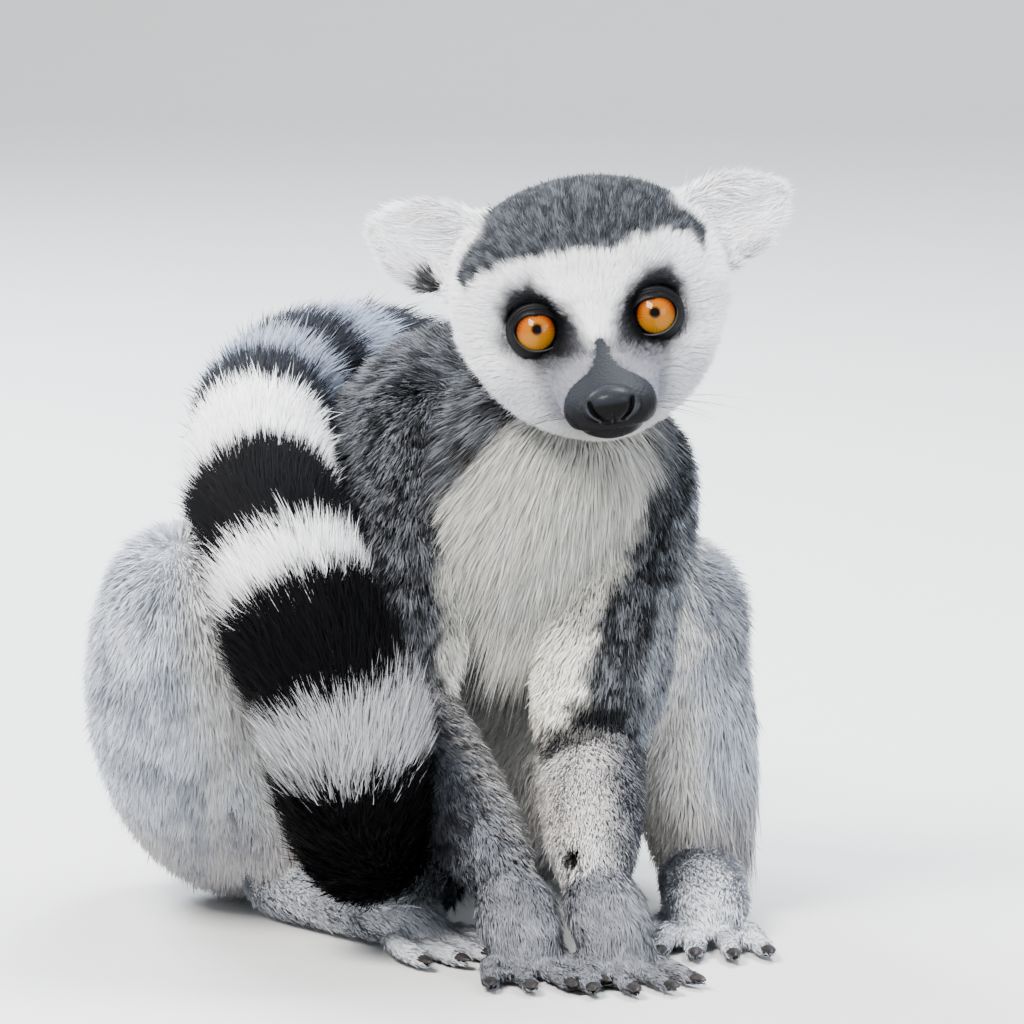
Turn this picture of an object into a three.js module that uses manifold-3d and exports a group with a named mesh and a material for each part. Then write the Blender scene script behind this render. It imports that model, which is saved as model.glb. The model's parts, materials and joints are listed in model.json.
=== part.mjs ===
// A life-size ring-tailed lemur (Lemur catta) that sits on its rump with its knees drawn up and its hands set down
// between its feet. Its tail is drawn forward from under the rump, rises from the lap past the right flank, goes
// over the back and comes down behind it, with its tip on the floor.
// Millimetres, +Z up. The animal looks along -Y. The origin is the middle of the flat that it sits on.
// Every piece reaches to the tips of the coat. A name that ends in _right is the animal's own right side.
import * as THREE from "three";
import Module from "manifold-3d";

const wasm = await Module();
wasm.setup();

// ---- Driving dimensions -------------------------------------------------------------------------------------
const GAP = 0.45; // between pieces that meet
const RIGHT = -1;
const LEFT = 1;

// Joints of the body, [x, y, z].
const SPINE = {
  seat: [2, 6, -6],
  pelvis: [6, 20, 38],
  loin: [10, 14, 80],
  ribs: [22, -8, 116],
  withers: [38, -36, 142],
  throat: [54, -62, 154],
};
const JOINTS = {
  right: {
    shoulder: [22, -56, 146],
    elbow: [12, -74, 72],
    wrist: [46, -115, 24],
    palm: [51, -134, 9.5],
    hip: [-33, 0, 41],
    knee: [-52, -104, 110],
    ankle: [-20, -46, 22],
    ball: [20, -98, 9],
  },
  left: {
    shoulder: [82, -60, 135],
    elbow: [70, -74, 60],
    wrist: [71, -118, 26],
    palm: [78, -138, 9.5],
    hip: [46, 26, 41.5],
    knee: [98, -56, 100],
    ankle: [103, -38, 20],
    ball: [105, -88, 9],
  },
};
const EYE_MIDPOINT = [71, -112, 188]; // halfway between the eyes: the origin of the head's own frame
// Degrees: nose up, face towards the animal's left, crown towards its right.
const HEAD_TURN = { pitch: -1.5, yaw: 2.5, roll: -8 };
const EYE = { apart: 34.4, radius: 8.6, forward: 1.5, toeOut: 8 };

// The tail's centre line, from its root under the rump to its tip behind the back, and its radius along it.
const TAIL_PATH = [
  [8, 6, 18],
  [21, -30, 18],
  [20, -60, 19],
  [11, -86, 24],
  [4, -107, 35],
  [1, -119, 52],
  [-2, -122, 74],
  [-12, -118, 97],
  [-23, -98, 122],
  [-28, -60, 141],
  [-25, -14, 153],
  [-6, 28, 158],
  [18, 54, 150],
  [36, 66, 128],
  [44, 76, 100],
  [46, 84, 70],
  [43, 93, 43],
  [26, 99, 24],
  [-3, 97, 18],
];
const TAIL_RADII = [14, 15, 16, 18, 21, 25, 27, 27, 26, 24, 23.5, 23, 22.5, 22, 22, 22, 21.5, 21, 17];
const TAIL_LENGTHS = 7;
/** A direction that the tail never runs along, from which its rings are turned. */
const TAIL_UP = [0.42, 0.45, 0.79];

// The head in its own frame: forward of the eyes, half width, top and bottom, from the nape to the lips.
const HEAD_SECTIONS = [
  [-56, 9, 17, -3],
  [-44, 30, 33, -20],
  [-32, 37.5, 40, -28],
  [-18, 41.5, 42.5, -33],
  [-6, 41.5, 38.5, -34.5],
  [3, 35, 28, -34.5],
  [9, 24.5, 14.5, -33],
  [15, 17, 5, -31],
  [22.5, 14.8, -2.5, -29.5],
  [31, 14, -7.5, -29],
  [38, 12.5, -11.2, -28.5],
  [43, 9.5, -15.2, -27],
];
const EARS = {
  right: { base: [-29, 22, 20], tip: [-58, 25, 33] },
  left: { base: [28, 22, 16], tip: [59, 25, 27] },
};
/** Half width, half thickness and the depth of the cup. */
const EAR = { width: 14.5, thick: 3.2, cup: 6 };

// Digits: lengths from the first (thumb or great toe) on, and how the first stands to the rest.
const FINGERS = { lengths: [17, 28, 32, 31, 25], radius: 3.4, fan: 0.16, first: { side: 9.5, back: 7, turn: 0.4 } };
const TOES = { lengths: [24, 25, 29, 31, 27], radius: 3.6, fan: 0.13, first: { side: 11, back: 14, turn: 0.6 } };

const COLOURS = {
  eye: { color: 0xd98a1c, roughness: 0.15 },
  nose: { color: 0x141416, roughness: 0.45 },
  head: { color: 0xd5d8dc, roughness: 0.9 },
  whiteFur: { color: 0xe4e6e9, roughness: 0.9 },
  cream: { color: 0xcfcdc4, roughness: 0.9 },
  grey: { color: 0x85888c, roughness: 0.9 },
  darkGrey: { color: 0x5a5d61, roughness: 0.9 },
  paleGrey: { color: 0xb7bcc2, roughness: 0.9 },
  black: { color: 0x17181a, roughness: 0.9 },
  digit: { color: 0x3b3b3e, roughness: 0.7 },
};

// ---- Shapes -------------------------------------------------------------------------------------------------
const vector = ([x, y, z]) => new THREE.Vector3(x, y, z);
const mix = (a, b, t) => a.map((value, k) => value + (b[k] - value) * t);
const direction = (from, to) => vector(to).sub(vector(from)).normalize();

/** A value along a list of evenly spaced ones, on a Catmull-Rom spline. */
function along(values, t) {
  const last = values.length - 1;
  const place = Math.min(Math.max(t, 0), 1) * last;
  const i = Math.min(Math.floor(place), last - 1);
  const at = (k) => values[Math.min(Math.max(k, 0), last)];
  const [a, b, c, d] = [at(i - 1), at(i), at(i + 1), at(i + 2)];
  const u = place - i;
  return b + 0.5 * u * (c - a + u * (2 * a - 5 * b + 4 * c - d + u * (3 * (b - c) + d - a)));
}

/** How far a rounded end has closed at t: 1 along the middle, 0 at both ends; a high power gives blunt ends. */
const closing = (t, power) => Math.sqrt(Math.max(0, 1 - Math.abs(2 * t - 1) ** power));

/** How far one end has narrowed: 1 over most of the length, then down to a small blunt end at t = 1. */
const narrowing = (t, power) => Math.sqrt(Math.max(0.04, 1 - t ** power));

/**
 * A closed surface: ring(t, angle) is the offset [side, rise] from the path, and up says which way rise points.
 * Its rings crowd towards rounded ends; with flat ends they are evenly spaced and each end is a flat fan.
 */
function loft(path, ring, { sides = 11, steps = 8, up = [0, 0, 1], flat = false } = {}) {
  const positions = [];
  const index = [];
  const place = (t, angle) => {
    const forward = path.getTangent(t);
    const side = vector(up).cross(forward).normalize();
    const rise = new THREE.Vector3().crossVectors(forward, side);
    const [s, r] = ring(t, angle);
    return path.getPoint(t).addScaledVector(side, s).addScaledVector(rise, r);
  };
  const first = flat ? 0 : 1;
  const last = flat ? steps : steps - 1;
  for (let i = first; i <= last; i += 1) {
    const t = flat ? i / steps : (1 - Math.cos((Math.PI * i) / steps)) / 2;
    for (let j = 0; j < sides; j += 1) positions.push(...place(t, (2 * Math.PI * j) / sides));
  }
  const rings = last - first + 1;
  const start = positions.length / 3;
  positions.push(...path.getPoint(0), ...path.getPoint(1));
  for (let j = 0; j < sides; j += 1) {
    const next = (j + 1) % sides;
    index.push(start, next, j);
    index.push(start + 1, (rings - 1) * sides + j, (rings - 1) * sides + next);
    for (let i = 0; i < rings - 1; i += 1) {
      const [a, b] = [i * sides + j, i * sides + next];
      index.push(a, b, a + sides, b, b + sides, a + sides);
    }
  }
  return new THREE.BufferGeometry()
    .setAttribute("position", new THREE.Float32BufferAttribute(positions, 3))
    .setIndex(index);
}

/** A rounded limb segment or digit: elliptic sections of the given radii along a curve through points. */
function limb(points, widths, depths, { power = 7, ...options } = {}) {
  const path = new THREE.CatmullRomCurve3(points.map(vector), false, "centripetal");
  const ring = (t, angle) => {
    const open = closing(t, power);
    return [along(widths, t) * open * Math.cos(angle), along(depths, t) * open * Math.sin(angle)];
  };
  return loft(path, ring, options);
}

/** One length of a long curve, between the shares from and to of it, with flat ends. */
function section(points, radii, from, to, options) {
  const whole = new THREE.CatmullRomCurve3(points.map(vector), false, "centripetal");
  const share = (t) => from + (to - from) * t;
  const path = new THREE.Curve();
  path.getPoint = (t) => whole.getPoint(share(t));
  path.getTangent = (t) => whole.getTangent(share(t));
  const tip = (t) => (to === 1 ? narrowing(t, 4) : 1);
  const root = (t) => (from === 0 ? narrowing(1 - t, 6) : 1);
  const ring = (t, angle) => {
    const open = tip(t) * root(t);
    const [width, depth] = radii.map((list) => along(list, share(t)) * open);
    return [width * Math.cos(angle), depth * Math.sin(angle)];
  };
  return loft(path, ring, { flat: true, ...options });
}

// ---- Solids: each shape is trimmed by those before it, less a gap -------------------------------------------
/** A shape as a manifold-3d solid. */
const toSolid = (geometry) =>
  new wasm.Manifold(
    new wasm.Mesh({
      numProp: 3,
      vertProperties: new Float32Array(geometry.attributes.position.array),
      triVerts: new Uint32Array(geometry.index.array),
    }),
  );

/** The same surface moved outwards by a distance. */
function swollen(geometry, distance) {
  const grown = geometry.clone();
  grown.computeVertexNormals();
  const { position, normal } = grown.attributes;
  for (let i = 0; i < position.count; i += 1) {
    const moved = new THREE.Vector3().fromBufferAttribute(position, i);
    moved.addScaledVector(new THREE.Vector3().fromBufferAttribute(normal, i), distance);
    position.setXYZ(i, moved.x, moved.y, moved.z);
  }
  return grown;
}

/** The largest body of a solid: slivers left beside it by a cut are dropped. */
const largest = (solid) => solid.decompose().sort((a, b) => b.volume() - a.volume())[0];

/** Everything below the floor, as a block whose top face is Z = 0. */
const floor = toSolid(
  loft(
    new THREE.LineCurve3(new THREE.Vector3(0, 0, -200), new THREE.Vector3(0, 0, 0)),
    (t, angle) => [900 * Math.cos(angle), 900 * Math.sin(angle)],
    { sides: 4, steps: 1, up: [1, 0, 0], flat: true },
  ),
);

const made = [];

/** Adds a piece: its shape, trimmed by the floor and by every piece made before it. */
function add(name, geometry, finish, group) {
  let solid = toSolid(geometry);
  geometry.computeBoundingBox();
  for (const other of made)
    if (other.box.intersectsBox(geometry.boundingBox)) solid = solid.subtract(other.swollen);
  if (geometry.boundingBox.min.z < 0) solid = solid.subtract(floor);
  const grown = swollen(geometry, GAP);
  grown.computeBoundingBox();
  const cutter = toSolid(grown).add(toSolid(geometry));
  const trimmed = largest(solid).simplify(0.22);
  made.push({ name, solid: trimmed, swollen: cutter, box: grown.boundingBox, finish, group });
}

// ---- The head, in a frame with X to the animal's left, -Y forward and the eyes' midpoint at the origin ------
const headGroup = new THREE.Group();
headGroup.position.copy(vector(EYE_MIDPOINT));
headGroup.rotation.order = "ZXY";
headGroup.rotation.set(
  THREE.MathUtils.degToRad(-HEAD_TURN.pitch),
  THREE.MathUtils.degToRad(HEAD_TURN.roll),
  THREE.MathUtils.degToRad(HEAD_TURN.yaw),
);
headGroup.updateMatrixWorld(true);
const bodyGroup = new THREE.Group();

/** The head's surface at a share of its length: an egg-shaped ring, with hollows round the eyes and full cheeks. */
function headShape() {
  const columns = [0, 1, 2, 3].map((k) => HEAD_SECTIONS.map((row) => row[k]));
  const middle = (t) => (along(columns[2], t) + along(columns[3], t)) / 2;
  const path = new THREE.Curve();
  path.getPoint = (t) => new THREE.Vector3(0, -along(columns[0], t), middle(t));
  path.getTangent = () => new THREE.Vector3(0, -1, 0);
  const ring = (t, angle) => {
    const half = (along(columns[2], t) - along(columns[3], t)) / 2;
    return [along(columns[1], t) * Math.cos(angle) * (1 + 0.12 * Math.sin(angle)), half * Math.sin(angle)];
  };
  const shape = loft(path, ring, { sides: 18, steps: 15, flat: true });
  const { position } = shape.attributes;
  for (let i = 0; i < position.count; i += 1) {
    const [x, y, z] = [position.getX(i), position.getY(i), position.getZ(i)];
    const off = Math.hypot(Math.abs(x) - EYE.apart / 2 - 1, z);
    const hollow = y < 0 ? 8 * Math.exp(-((off / 9.5) ** 2)) : 0;
    position.setY(i, y + hollow);
  }
  return shape;
}

/** A cupped ear: a crescent carried from the skull to the rounded tip. */
function earShape(side, { base, tip }) {
  const path = new THREE.LineCurve3(vector(base), vector(tip));
  const ring = (t, angle) => {
    const width = along([1, 1.04, 1, 0.88, 0.72], t) * EAR.width * narrowing(t, 6);
    const thick = EAR.thick * narrowing(t, 8);
    const across = Math.cos(angle);
    return [thick * Math.sin(angle) - side * EAR.cup * across * across * (1 - 0.4 * t), -width * across];
  };
  return loft(path, ring, { sides: 12, steps: 6, up: [0, 0, 1], flat: true });
}

function eyeShape(side) {
  const ball = new THREE.CatmullRomCurve3(
    [
      [0, EYE.radius, 0],
      [0, 0, 0],
      [0, -EYE.radius - 0.7, 0],
    ].map(vector),
  );
  const ring = (t, angle) => {
    const depth = 1 - 2 * t;
    const open = EYE.radius * Math.sqrt(Math.max(0, 1 - depth * depth));
    return [open * Math.cos(angle), open * Math.sin(angle)];
  };
  return loft(ball, ring, { sides: 12, steps: 7 })
    .rotateZ(THREE.MathUtils.degToRad(side * EYE.toeOut))
    .translate((side * EYE.apart) / 2, -EYE.forward, 0);
}

function noseShape() {
  return limb([[0, -36, -16.7], [0, -42, -18.2], [0, -45.5, -20.7]], [7, 8.6, 7], [4, 6, 5], { power: 3 });
}

const inHead = (geometry) => geometry.applyMatrix4(headGroup.matrixWorld);
for (const [side, word] of [[RIGHT, "right"], [LEFT, "left"]])
  add(`eye_${word}`, inHead(eyeShape(side)), "eye", headGroup);
add("nose", inHead(noseShape()), "nose", headGroup);
add("head", inHead(headShape()), "head", headGroup);
for (const [side, word] of [[RIGHT, "right"], [LEFT, "left"]])
  add(`ear_${word}`, inHead(earShape(side, EARS[word])), "whiteFur", headGroup);

// ---- The tail -----------------------------------------------------------------------------------------------
for (let k = 0; k < TAIL_LENGTHS; k += 1) {
  const [from, to] = [k / TAIL_LENGTHS, (k + 1) / TAIL_LENGTHS];
  const piece = section(TAIL_PATH, [TAIL_RADII, TAIL_RADII], from, to, { steps: 5, up: TAIL_UP });
  add(`tail_${k + 1}`, piece, k % 2 ? "black" : "whiteFur", bodyGroup);
}

// ---- The trunk: one form from rump to throat, parted at the loin and behind the ribs ------------------------
const TRUNK_WIDTHS = [34, 48, 47, 45, 42, 32];
const TRUNK_DEPTHS = [34, 46, 47, 47, 44, 34];
const TRUNK_PARTS = [["rump", 0, 0.36], ["belly", 0.36, 0.66], ["chest", 0.66, 1]];
for (const [name, from, to] of TRUNK_PARTS) {
  const spine = Object.values(SPINE);
  const piece = section(spine, [TRUNK_DEPTHS, TRUNK_WIDTHS], from, to, { sides: 14, steps: 5, up: [0.91, 0.41, 0] });
  add(name, piece, name === "rump" ? "grey" : "cream", bodyGroup);
}
add(
  "neck",
  limb([[37, -44, 92], [54, -63, 136], [70, -88, 172]], [32, 38, 30], [34, 39, 31], { up: [0.91, 0.41, 0] }),
  "cream",
  bodyGroup,
);

// ---- Limbs --------------------------------------------------------------------------------------------------
/** Points on a slightly bowed line that runs past both joints by a little. */
function bowed(from, to, over, bow = [0, 0, 0]) {
  const reach = vector(to).sub(vector(from));
  const length = reach.length();
  const past = (t) => mix(from, to, t);
  const middle = past(0.5).map((value, k) => value + bow[k]);
  return [past(-over[0] / length), middle, past(1 + over[1] / length)];
}

for (const word of ["right", "left"]) {
  const joint = JOINTS[word];
  add(
    `upper_arm_${word}`,
    limb(bowed(joint.shoulder, joint.elbow, [24, 14]), [22, 24, 19], [25, 26, 18], { up: [0, -1, 0] }),
    "darkGrey",
    bodyGroup,
  );
  add(
    `forearm_${word}`,
    limb(bowed(joint.elbow, joint.wrist, [12, 8]), [17, 17, 12.5], [18, 17, 11.5]),
    "grey",
    bodyGroup,
  );
  add(
    `thigh_${word}`,
    limb(bowed(joint.hip, joint.knee, [30, 20], [0, 0, -7]), [41, 39, 22], [44, 43, 25], { steps: 7 }),
    "paleGrey",
    bodyGroup,
  );
  add(
    `shin_${word}`,
    limb(bowed(joint.knee, joint.ankle, [8, 14]), [17, 21, 17], [17, 21, 17], { up: [1, 0, 0] }),
    "paleGrey",
    bodyGroup,
  );
}

// ---- Hands and feet -----------------------------------------------------------------------------------------
/**
 * Digits of a hand or foot: the first stands apart on the inner side, the others fan out side by side in front.
 * Each arches from its knuckle and comes down on its pad. inner is +1 when the first digit lies towards +X.
 */
function digits(name, from, to, inner, { lengths, radius, fan, first }) {
  const forward = direction(from, to).setZ(0).normalize();
  const across = new THREE.Vector3(-forward.y, forward.x, 0).multiplyScalar(inner);
  const vertical = new THREE.Vector3(0, 0, 1);
  lengths.forEach((length, k) => {
    const place = k === 0 ? first : { side: (2.5 - k) * radius * 2.12, back: 0, turn: (2.5 - k) * fan };
    const way = forward.clone().applyAxisAngle(vertical, place.turn * inner);
    const root = vector(to).addScaledVector(across, place.side).addScaledVector(forward, -place.back);
    const at = (reach, height) => root.clone().addScaledVector(way, reach).setZ(height).toArray();
    const points = [at(-3, radius + 2.6), at(length * 0.5, radius - 0.2), at(length, radius - 1)];
    const radii = [radius, radius, radius * 0.85];
    add(`${name}_${k + 1}`, limb(points, radii, radii, { sides: 7, steps: 5, power: 5 }), "digit", bodyGroup);
  });
}

for (const [side, word] of [[RIGHT, "right"], [LEFT, "left"]]) {
  const { wrist, palm, ankle, ball } = JOINTS[word];
  const hand = [mix(wrist, palm, -0.15), mix(wrist, palm, 0.6), mix(wrist, palm, 1.3).with(2, 6.2)];
  add(`hand_${word}`, limb(hand, [11.5, 13, 11.5], [10.5, 10, 7], { power: 5, steps: 7 }), "grey", bodyGroup);
  digits(`finger_${word}`, wrist, palm, -side, FINGERS);
  const heel = mix(ankle, ball, -0.3).with(2, 10);
  const instep = mix(ankle, ball, 0.5).with(2, 13);
  const sole = [heel, instep, mix(ankle, ball, 1.1)];
  add(`foot_${word}`, limb(sole, [12, 13.5, 14], [12, 13, 8], { power: 5, steps: 8 }), "whiteFur", bodyGroup);
  digits(`toe_${word}`, ankle, ball, -side, TOES);
}

// ---- The model ----------------------------------------------------------------------------------------------
const model = new THREE.Group();
model.add(headGroup, bodyGroup);
for (const { name, solid, finish, group } of made) {
  const mesh = solid.getMesh();
  const geometry = new THREE.BufferGeometry()
    .setAttribute("position", new THREE.BufferAttribute(new Float32Array(mesh.vertProperties), 3))
    .setIndex(new THREE.BufferAttribute(new Uint32Array(mesh.triVerts), 1))
    .applyMatrix4(group.matrixWorld.clone().invert());
  const node = new THREE.Mesh(geometry, new THREE.MeshStandardMaterial(COLOURS[finish]));
  node.name = name;
  group.add(node);
}

export default model;
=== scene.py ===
"""A sitting ring-tailed lemur: one skin, eyes, lids, nose, nails and whiskers, and a coat of mesh tufts."""
import json
import math

import bmesh
import bpy
import numpy as np
from bpy.props import FloatProperty, FloatVectorProperty, IntProperty, PointerProperty
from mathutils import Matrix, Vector

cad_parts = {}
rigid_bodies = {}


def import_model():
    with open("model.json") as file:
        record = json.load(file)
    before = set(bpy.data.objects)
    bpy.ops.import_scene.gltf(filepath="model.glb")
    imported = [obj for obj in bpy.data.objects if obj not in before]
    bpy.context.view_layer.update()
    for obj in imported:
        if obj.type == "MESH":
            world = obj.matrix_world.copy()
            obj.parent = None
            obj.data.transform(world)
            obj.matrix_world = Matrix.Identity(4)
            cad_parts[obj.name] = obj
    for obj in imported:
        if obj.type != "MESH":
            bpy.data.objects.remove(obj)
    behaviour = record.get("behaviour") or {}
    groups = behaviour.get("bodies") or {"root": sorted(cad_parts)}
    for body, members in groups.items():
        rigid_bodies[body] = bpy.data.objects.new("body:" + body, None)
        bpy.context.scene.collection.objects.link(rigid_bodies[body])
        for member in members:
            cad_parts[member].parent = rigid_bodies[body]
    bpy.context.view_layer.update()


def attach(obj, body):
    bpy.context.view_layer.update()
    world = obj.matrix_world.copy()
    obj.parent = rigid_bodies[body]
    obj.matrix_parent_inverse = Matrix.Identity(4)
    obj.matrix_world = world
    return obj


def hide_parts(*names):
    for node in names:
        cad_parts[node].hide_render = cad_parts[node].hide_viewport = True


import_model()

bl_info = {
    "name": "Sitting ring-tailed lemur",
    "version": (1, 0, 0),
    "blender": (4, 5, 0),
    "location": "3D View > Sidebar > Lemur",
    "description": "Builds the skin, eyes, nose, nails, whiskers and coat of a sitting ring-tailed lemur",
    "category": "Add Mesh",
}

# ---- Body: millimetres, the same joints, sections and route as the solids --------------------------------
MM = 0.001
RIGHT, LEFT = -1, 1
SIDES = (("right", RIGHT), ("left", LEFT))
SPINE = [[2, 6, -6], [6, 20, 38], [10, 14, 80], [22, -8, 116], [38, -36, 142], [54, -62, 154]]
TRUNK_WIDTHS = [34, 48, 47, 45, 42, 32]
TRUNK_DEPTHS = [34, 46, 47, 47, 44, 34]
ACROSS_TRUNK = (0.91, 0.41, 0)
NECK = [[37, -44, 92], [54, -63, 136], [70, -88, 172]]
JOINTS = {
    "right": {
        "shoulder": [22, -56, 146], "elbow": [12, -74, 72], "wrist": [46, -115, 24], "palm": [51, -134, 9.5],
        "hip": [-33, 0, 41], "knee": [-52, -104, 110], "ankle": [-20, -46, 22], "ball": [20, -98, 9],
    },
    "left": {
        "shoulder": [82, -60, 135], "elbow": [70, -74, 60], "wrist": [71, -118, 26], "palm": [78, -138, 9.5],
        "hip": [46, 26, 41.5], "knee": [98, -56, 100], "ankle": [103, -38, 20], "ball": [105, -88, 9],
    },
}
TAIL_PATH = [
    [8, 6, 18], [21, -30, 18], [20, -60, 19], [11, -86, 24], [4, -107, 35], [1, -119, 52], [-2, -122, 74],
    [-12, -118, 97], [-23, -98, 122], [-28, -60, 141], [-25, -14, 153], [-6, 28, 158], [18, 54, 150],
    [36, 66, 128], [44, 76, 100], [46, 84, 70], [43, 93, 43], [26, 99, 24], [-3, 97, 18],
]
TAIL_RADII = [14, 15, 16, 18, 21, 25, 27, 27, 26, 24, 23.5, 23, 22.5, 22, 22, 22, 21.5, 21, 17]
TAIL_UP = (0.42, 0.45, 0.79)
EYE_MIDPOINT = np.array([71.0, -112.0, 188.0])
HEAD_TURN = {"pitch": -1.5, "yaw": 2.5, "roll": -8.0}
EYE = {"apart": 34.4, "radius": 8.6, "forward": 1.5, "raised": 0.8}
# Forward of the eyes, half width, top and bottom, from the nape to the lips, in the head's own frame.
HEAD_SECTIONS = np.array([
    [-56, 9, 17, -3], [-44, 30, 33, -20], [-32, 37.5, 40, -28], [-18, 41.5, 42.5, -33],
    [-6, 41.5, 38.5, -34.5], [3, 35, 28, -34.5], [9, 24.5, 14.5, -33], [15, 17, 5, -31],
    [22.5, 14.8, -2.5, -29.5], [31, 14, -7.5, -29], [38, 12.5, -11.2, -28.5], [43, 9.5, -15.2, -27],
])
EARS = {"right": ([-29, 22, 20], [-58, 25, 33]), "left": ([28, 22, 16], [59, 25, 27])}
EAR = {"width": 14.5, "thick": 3.2, "cup": 6.0}
FINGERS = {"lengths": [17, 28, 32, 31, 25], "radius": 3.4, "fan": 0.16, "side": 9.5, "back": 7, "turn": 0.4}
TOES = {"lengths": [24, 25, 29, 31, 27], "radius": 3.6, "fan": 0.13, "side": 11, "back": 14, "turn": 0.6}

# Linear colours of the coat and the bare skin.
BLACK = (0.0022, 0.0022, 0.0028)
INK = (0.0055, 0.0056, 0.0068)
SOOT = (0.016, 0.017, 0.021)
GREY = (0.085, 0.09, 0.10)
SILVER = (0.20, 0.215, 0.245)
PALE = (0.34, 0.365, 0.41)
WHITE = (0.90, 0.905, 0.93)
# White painted down to grey: painted shade on one white tail ring low in front of the body.
SHADED_WHITE = (0.50, 0.50, 0.52)
SAND = (0.36, 0.30, 0.26)
# Of the bare-skin colours, the lighter blue-grey one is the skin's own dark grey with painted sheen, for the
# muzzle's bridge and the nose's top.
BARE_SKIN_AND_SHEEN = (0.0115, 0.0135, 0.017)
LEATHER = (0.0034, 0.0032, 0.0038)

# Places and ways that more than one part of the model uses, in millimetres.
CHEST_WAY = np.array([0.41, -0.91, 0.0])  # the way the breastbone faces
FLAT = np.array([1, 1, 0])  # takes the height out of a place
EYE_AT = (EYE["apart"] / 2, -EYE["forward"])  # a globe's middle in the head's frame: x and y
PUPIL_AT = (-0.5, 0.75)  # the pupil's place off the globe's axis: outwards, upwards
LOWEST_SKIN, LOWEST_HAIR = 0.25, 0.35  # over the floor


# ---- Curves and sections ---------------------------------------------------------------------------------
def unit(v):
    """Vectors scaled to length one."""
    return v / np.maximum(np.linalg.norm(v, axis=-1, keepdims=True), 1e-9)


def curve(points, t):
    """Points at the shares t of a centripetal Catmull-Rom spline: cubic Hermite pieces whose end slopes weigh
    the neighbouring chords by the square root of their lengths."""
    p = np.asarray(points, float)
    p = np.vstack([2 * p[0] - p[1], p, 2 * p[-1] - p[-2]])
    place = np.clip(t, 0, 1) * (len(p) - 3)
    i = np.minimum(place.astype(int), len(p) - 4)
    u = (place - i)[:, None]
    a, b, c, d = p[i], p[i + 1], p[i + 2], p[i + 3]
    k0, k1, k2 = (np.sqrt(np.linalg.norm(y - x, axis=1))[:, None] for x, y in ((a, b), (b, c), (c, d)))
    m0 = ((b - a) / k0 - (c - a) / (k0 + k1) + (c - b) / k1) * k1
    m1 = ((c - b) / k1 - (d - b) / (k1 + k2) + (d - c) / k2) * k1
    return b + u * (m0 + u * (3 * (c - b) - 2 * m0 - m1 + u * (2 * (b - c) + m0 + m1)))


def along(values, t):
    """Numbers at the shares t of an evenly spaced Catmull-Rom spline."""
    v = np.asarray(values, float)
    place = np.clip(t, 0, 1) * (len(v) - 1)
    i = np.minimum(place.astype(int), len(v) - 2)
    u = place - i
    a, b, c, d = (v[np.clip(i + k, 0, len(v) - 1)] for k in (-1, 0, 1, 2))
    return b + 0.5 * u * (c - a + u * (2 * a - 5 * b + 4 * c - d + u * (3 * (b - c) + d - a)))


def step(low, high, value):
    """A smooth rise from 0 at low to 1 at high."""
    x = np.clip((value - low) / (high - low), 0, 1)
    return x * x * (3 - 2 * x)


def mix(a, b, t):
    """a where t is 0 and b where it is 1, for numbers or colours."""
    t = np.asarray(t, float)
    if np.ndim(b) and np.shape(b)[-1] == 3 and np.shape(t)[-1:] != (3,):
        t = t[..., None]
    return np.asarray(a) * (1 - t) + np.asarray(b) * t


def layered(colour, *layers):
    """A colour with others laid over it in turn, each given with its share."""
    for over, share in layers:
        colour = mix(colour, over, share)
    return colour


def hill(*offsets):
    """1 at a middle and less around it: exp(-d^2), where d^2 sums the squares of the offsets, each given with
    its own width."""
    return np.exp(-sum((off / width) ** 2 for off, width in offsets))


def lattice(cells, salt):
    """A repeatable number from 0 to 1 for each whole cell: the fraction of a large sine of its place."""
    h = np.sin(cells @ np.array([127.1, 311.7, 74.7]) + salt * 17.13) * 43758.5453
    return h - np.floor(h)


def noise(points, size, salt=0):
    """Smooth noise from 0 to 1: random numbers at the corners of cubes of a size, blended between them."""
    q = points / size
    base = np.floor(q)
    f = q - base
    f = f * f * (3 - 2 * f)
    total = np.zeros(len(points))
    for corner in np.ndindex(2, 2, 2):
        weight = np.prod(np.where(np.array(corner) == 1, f, 1 - f), axis=1)
        total += weight * lattice(base + corner, salt)
    return total


def noise_vectors(points, size, salt=0):
    """Smooth noise vectors, each part from -1 to 1."""
    return np.stack([noise(points, size, salt + k) * 2 - 1 for k in range(3)], axis=1)


def head_matrix():
    """The turn from the head's frame to the model's: yaw about Z after pitch about X after roll about Y."""
    x, y, z = (math.radians(v) for v in (-HEAD_TURN["pitch"], HEAD_TURN["roll"], HEAD_TURN["yaw"]))
    turn_x = np.array([[1, 0, 0], [0, math.cos(x), -math.sin(x)], [0, math.sin(x), math.cos(x)]])
    turn_y = np.array([[math.cos(y), 0, math.sin(y)], [0, 1, 0], [-math.sin(y), 0, math.cos(y)]])
    turn_z = np.array([[math.cos(z), -math.sin(z), 0], [math.sin(z), math.cos(z), 0], [0, 0, 1]])
    return turn_z @ turn_x @ turn_y


HEAD = head_matrix()


def from_head(p):
    """Points of the head's frame in the model's."""
    return p @ HEAD.T + EYE_MIDPOINT


def to_head(p):
    """Points of the model's frame in the head's."""
    return (p - EYE_MIDPOINT) @ HEAD


# ---- Forms: one tube of skin for each part of the body ---------------------------------------------------
def sweep(path, up, across, over):
    """A grid of points: each ring stands off the path by across to its side and over towards up."""
    forward = unit(np.gradient(path, axis=0))
    side = unit(np.cross(np.broadcast_to(up, path.shape), forward))
    rise = np.cross(forward, side)
    grid = path[:, None] + across[..., None] * side[:, None] + over[..., None] * rise[:, None]
    return grid, forward, side, rise


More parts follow.
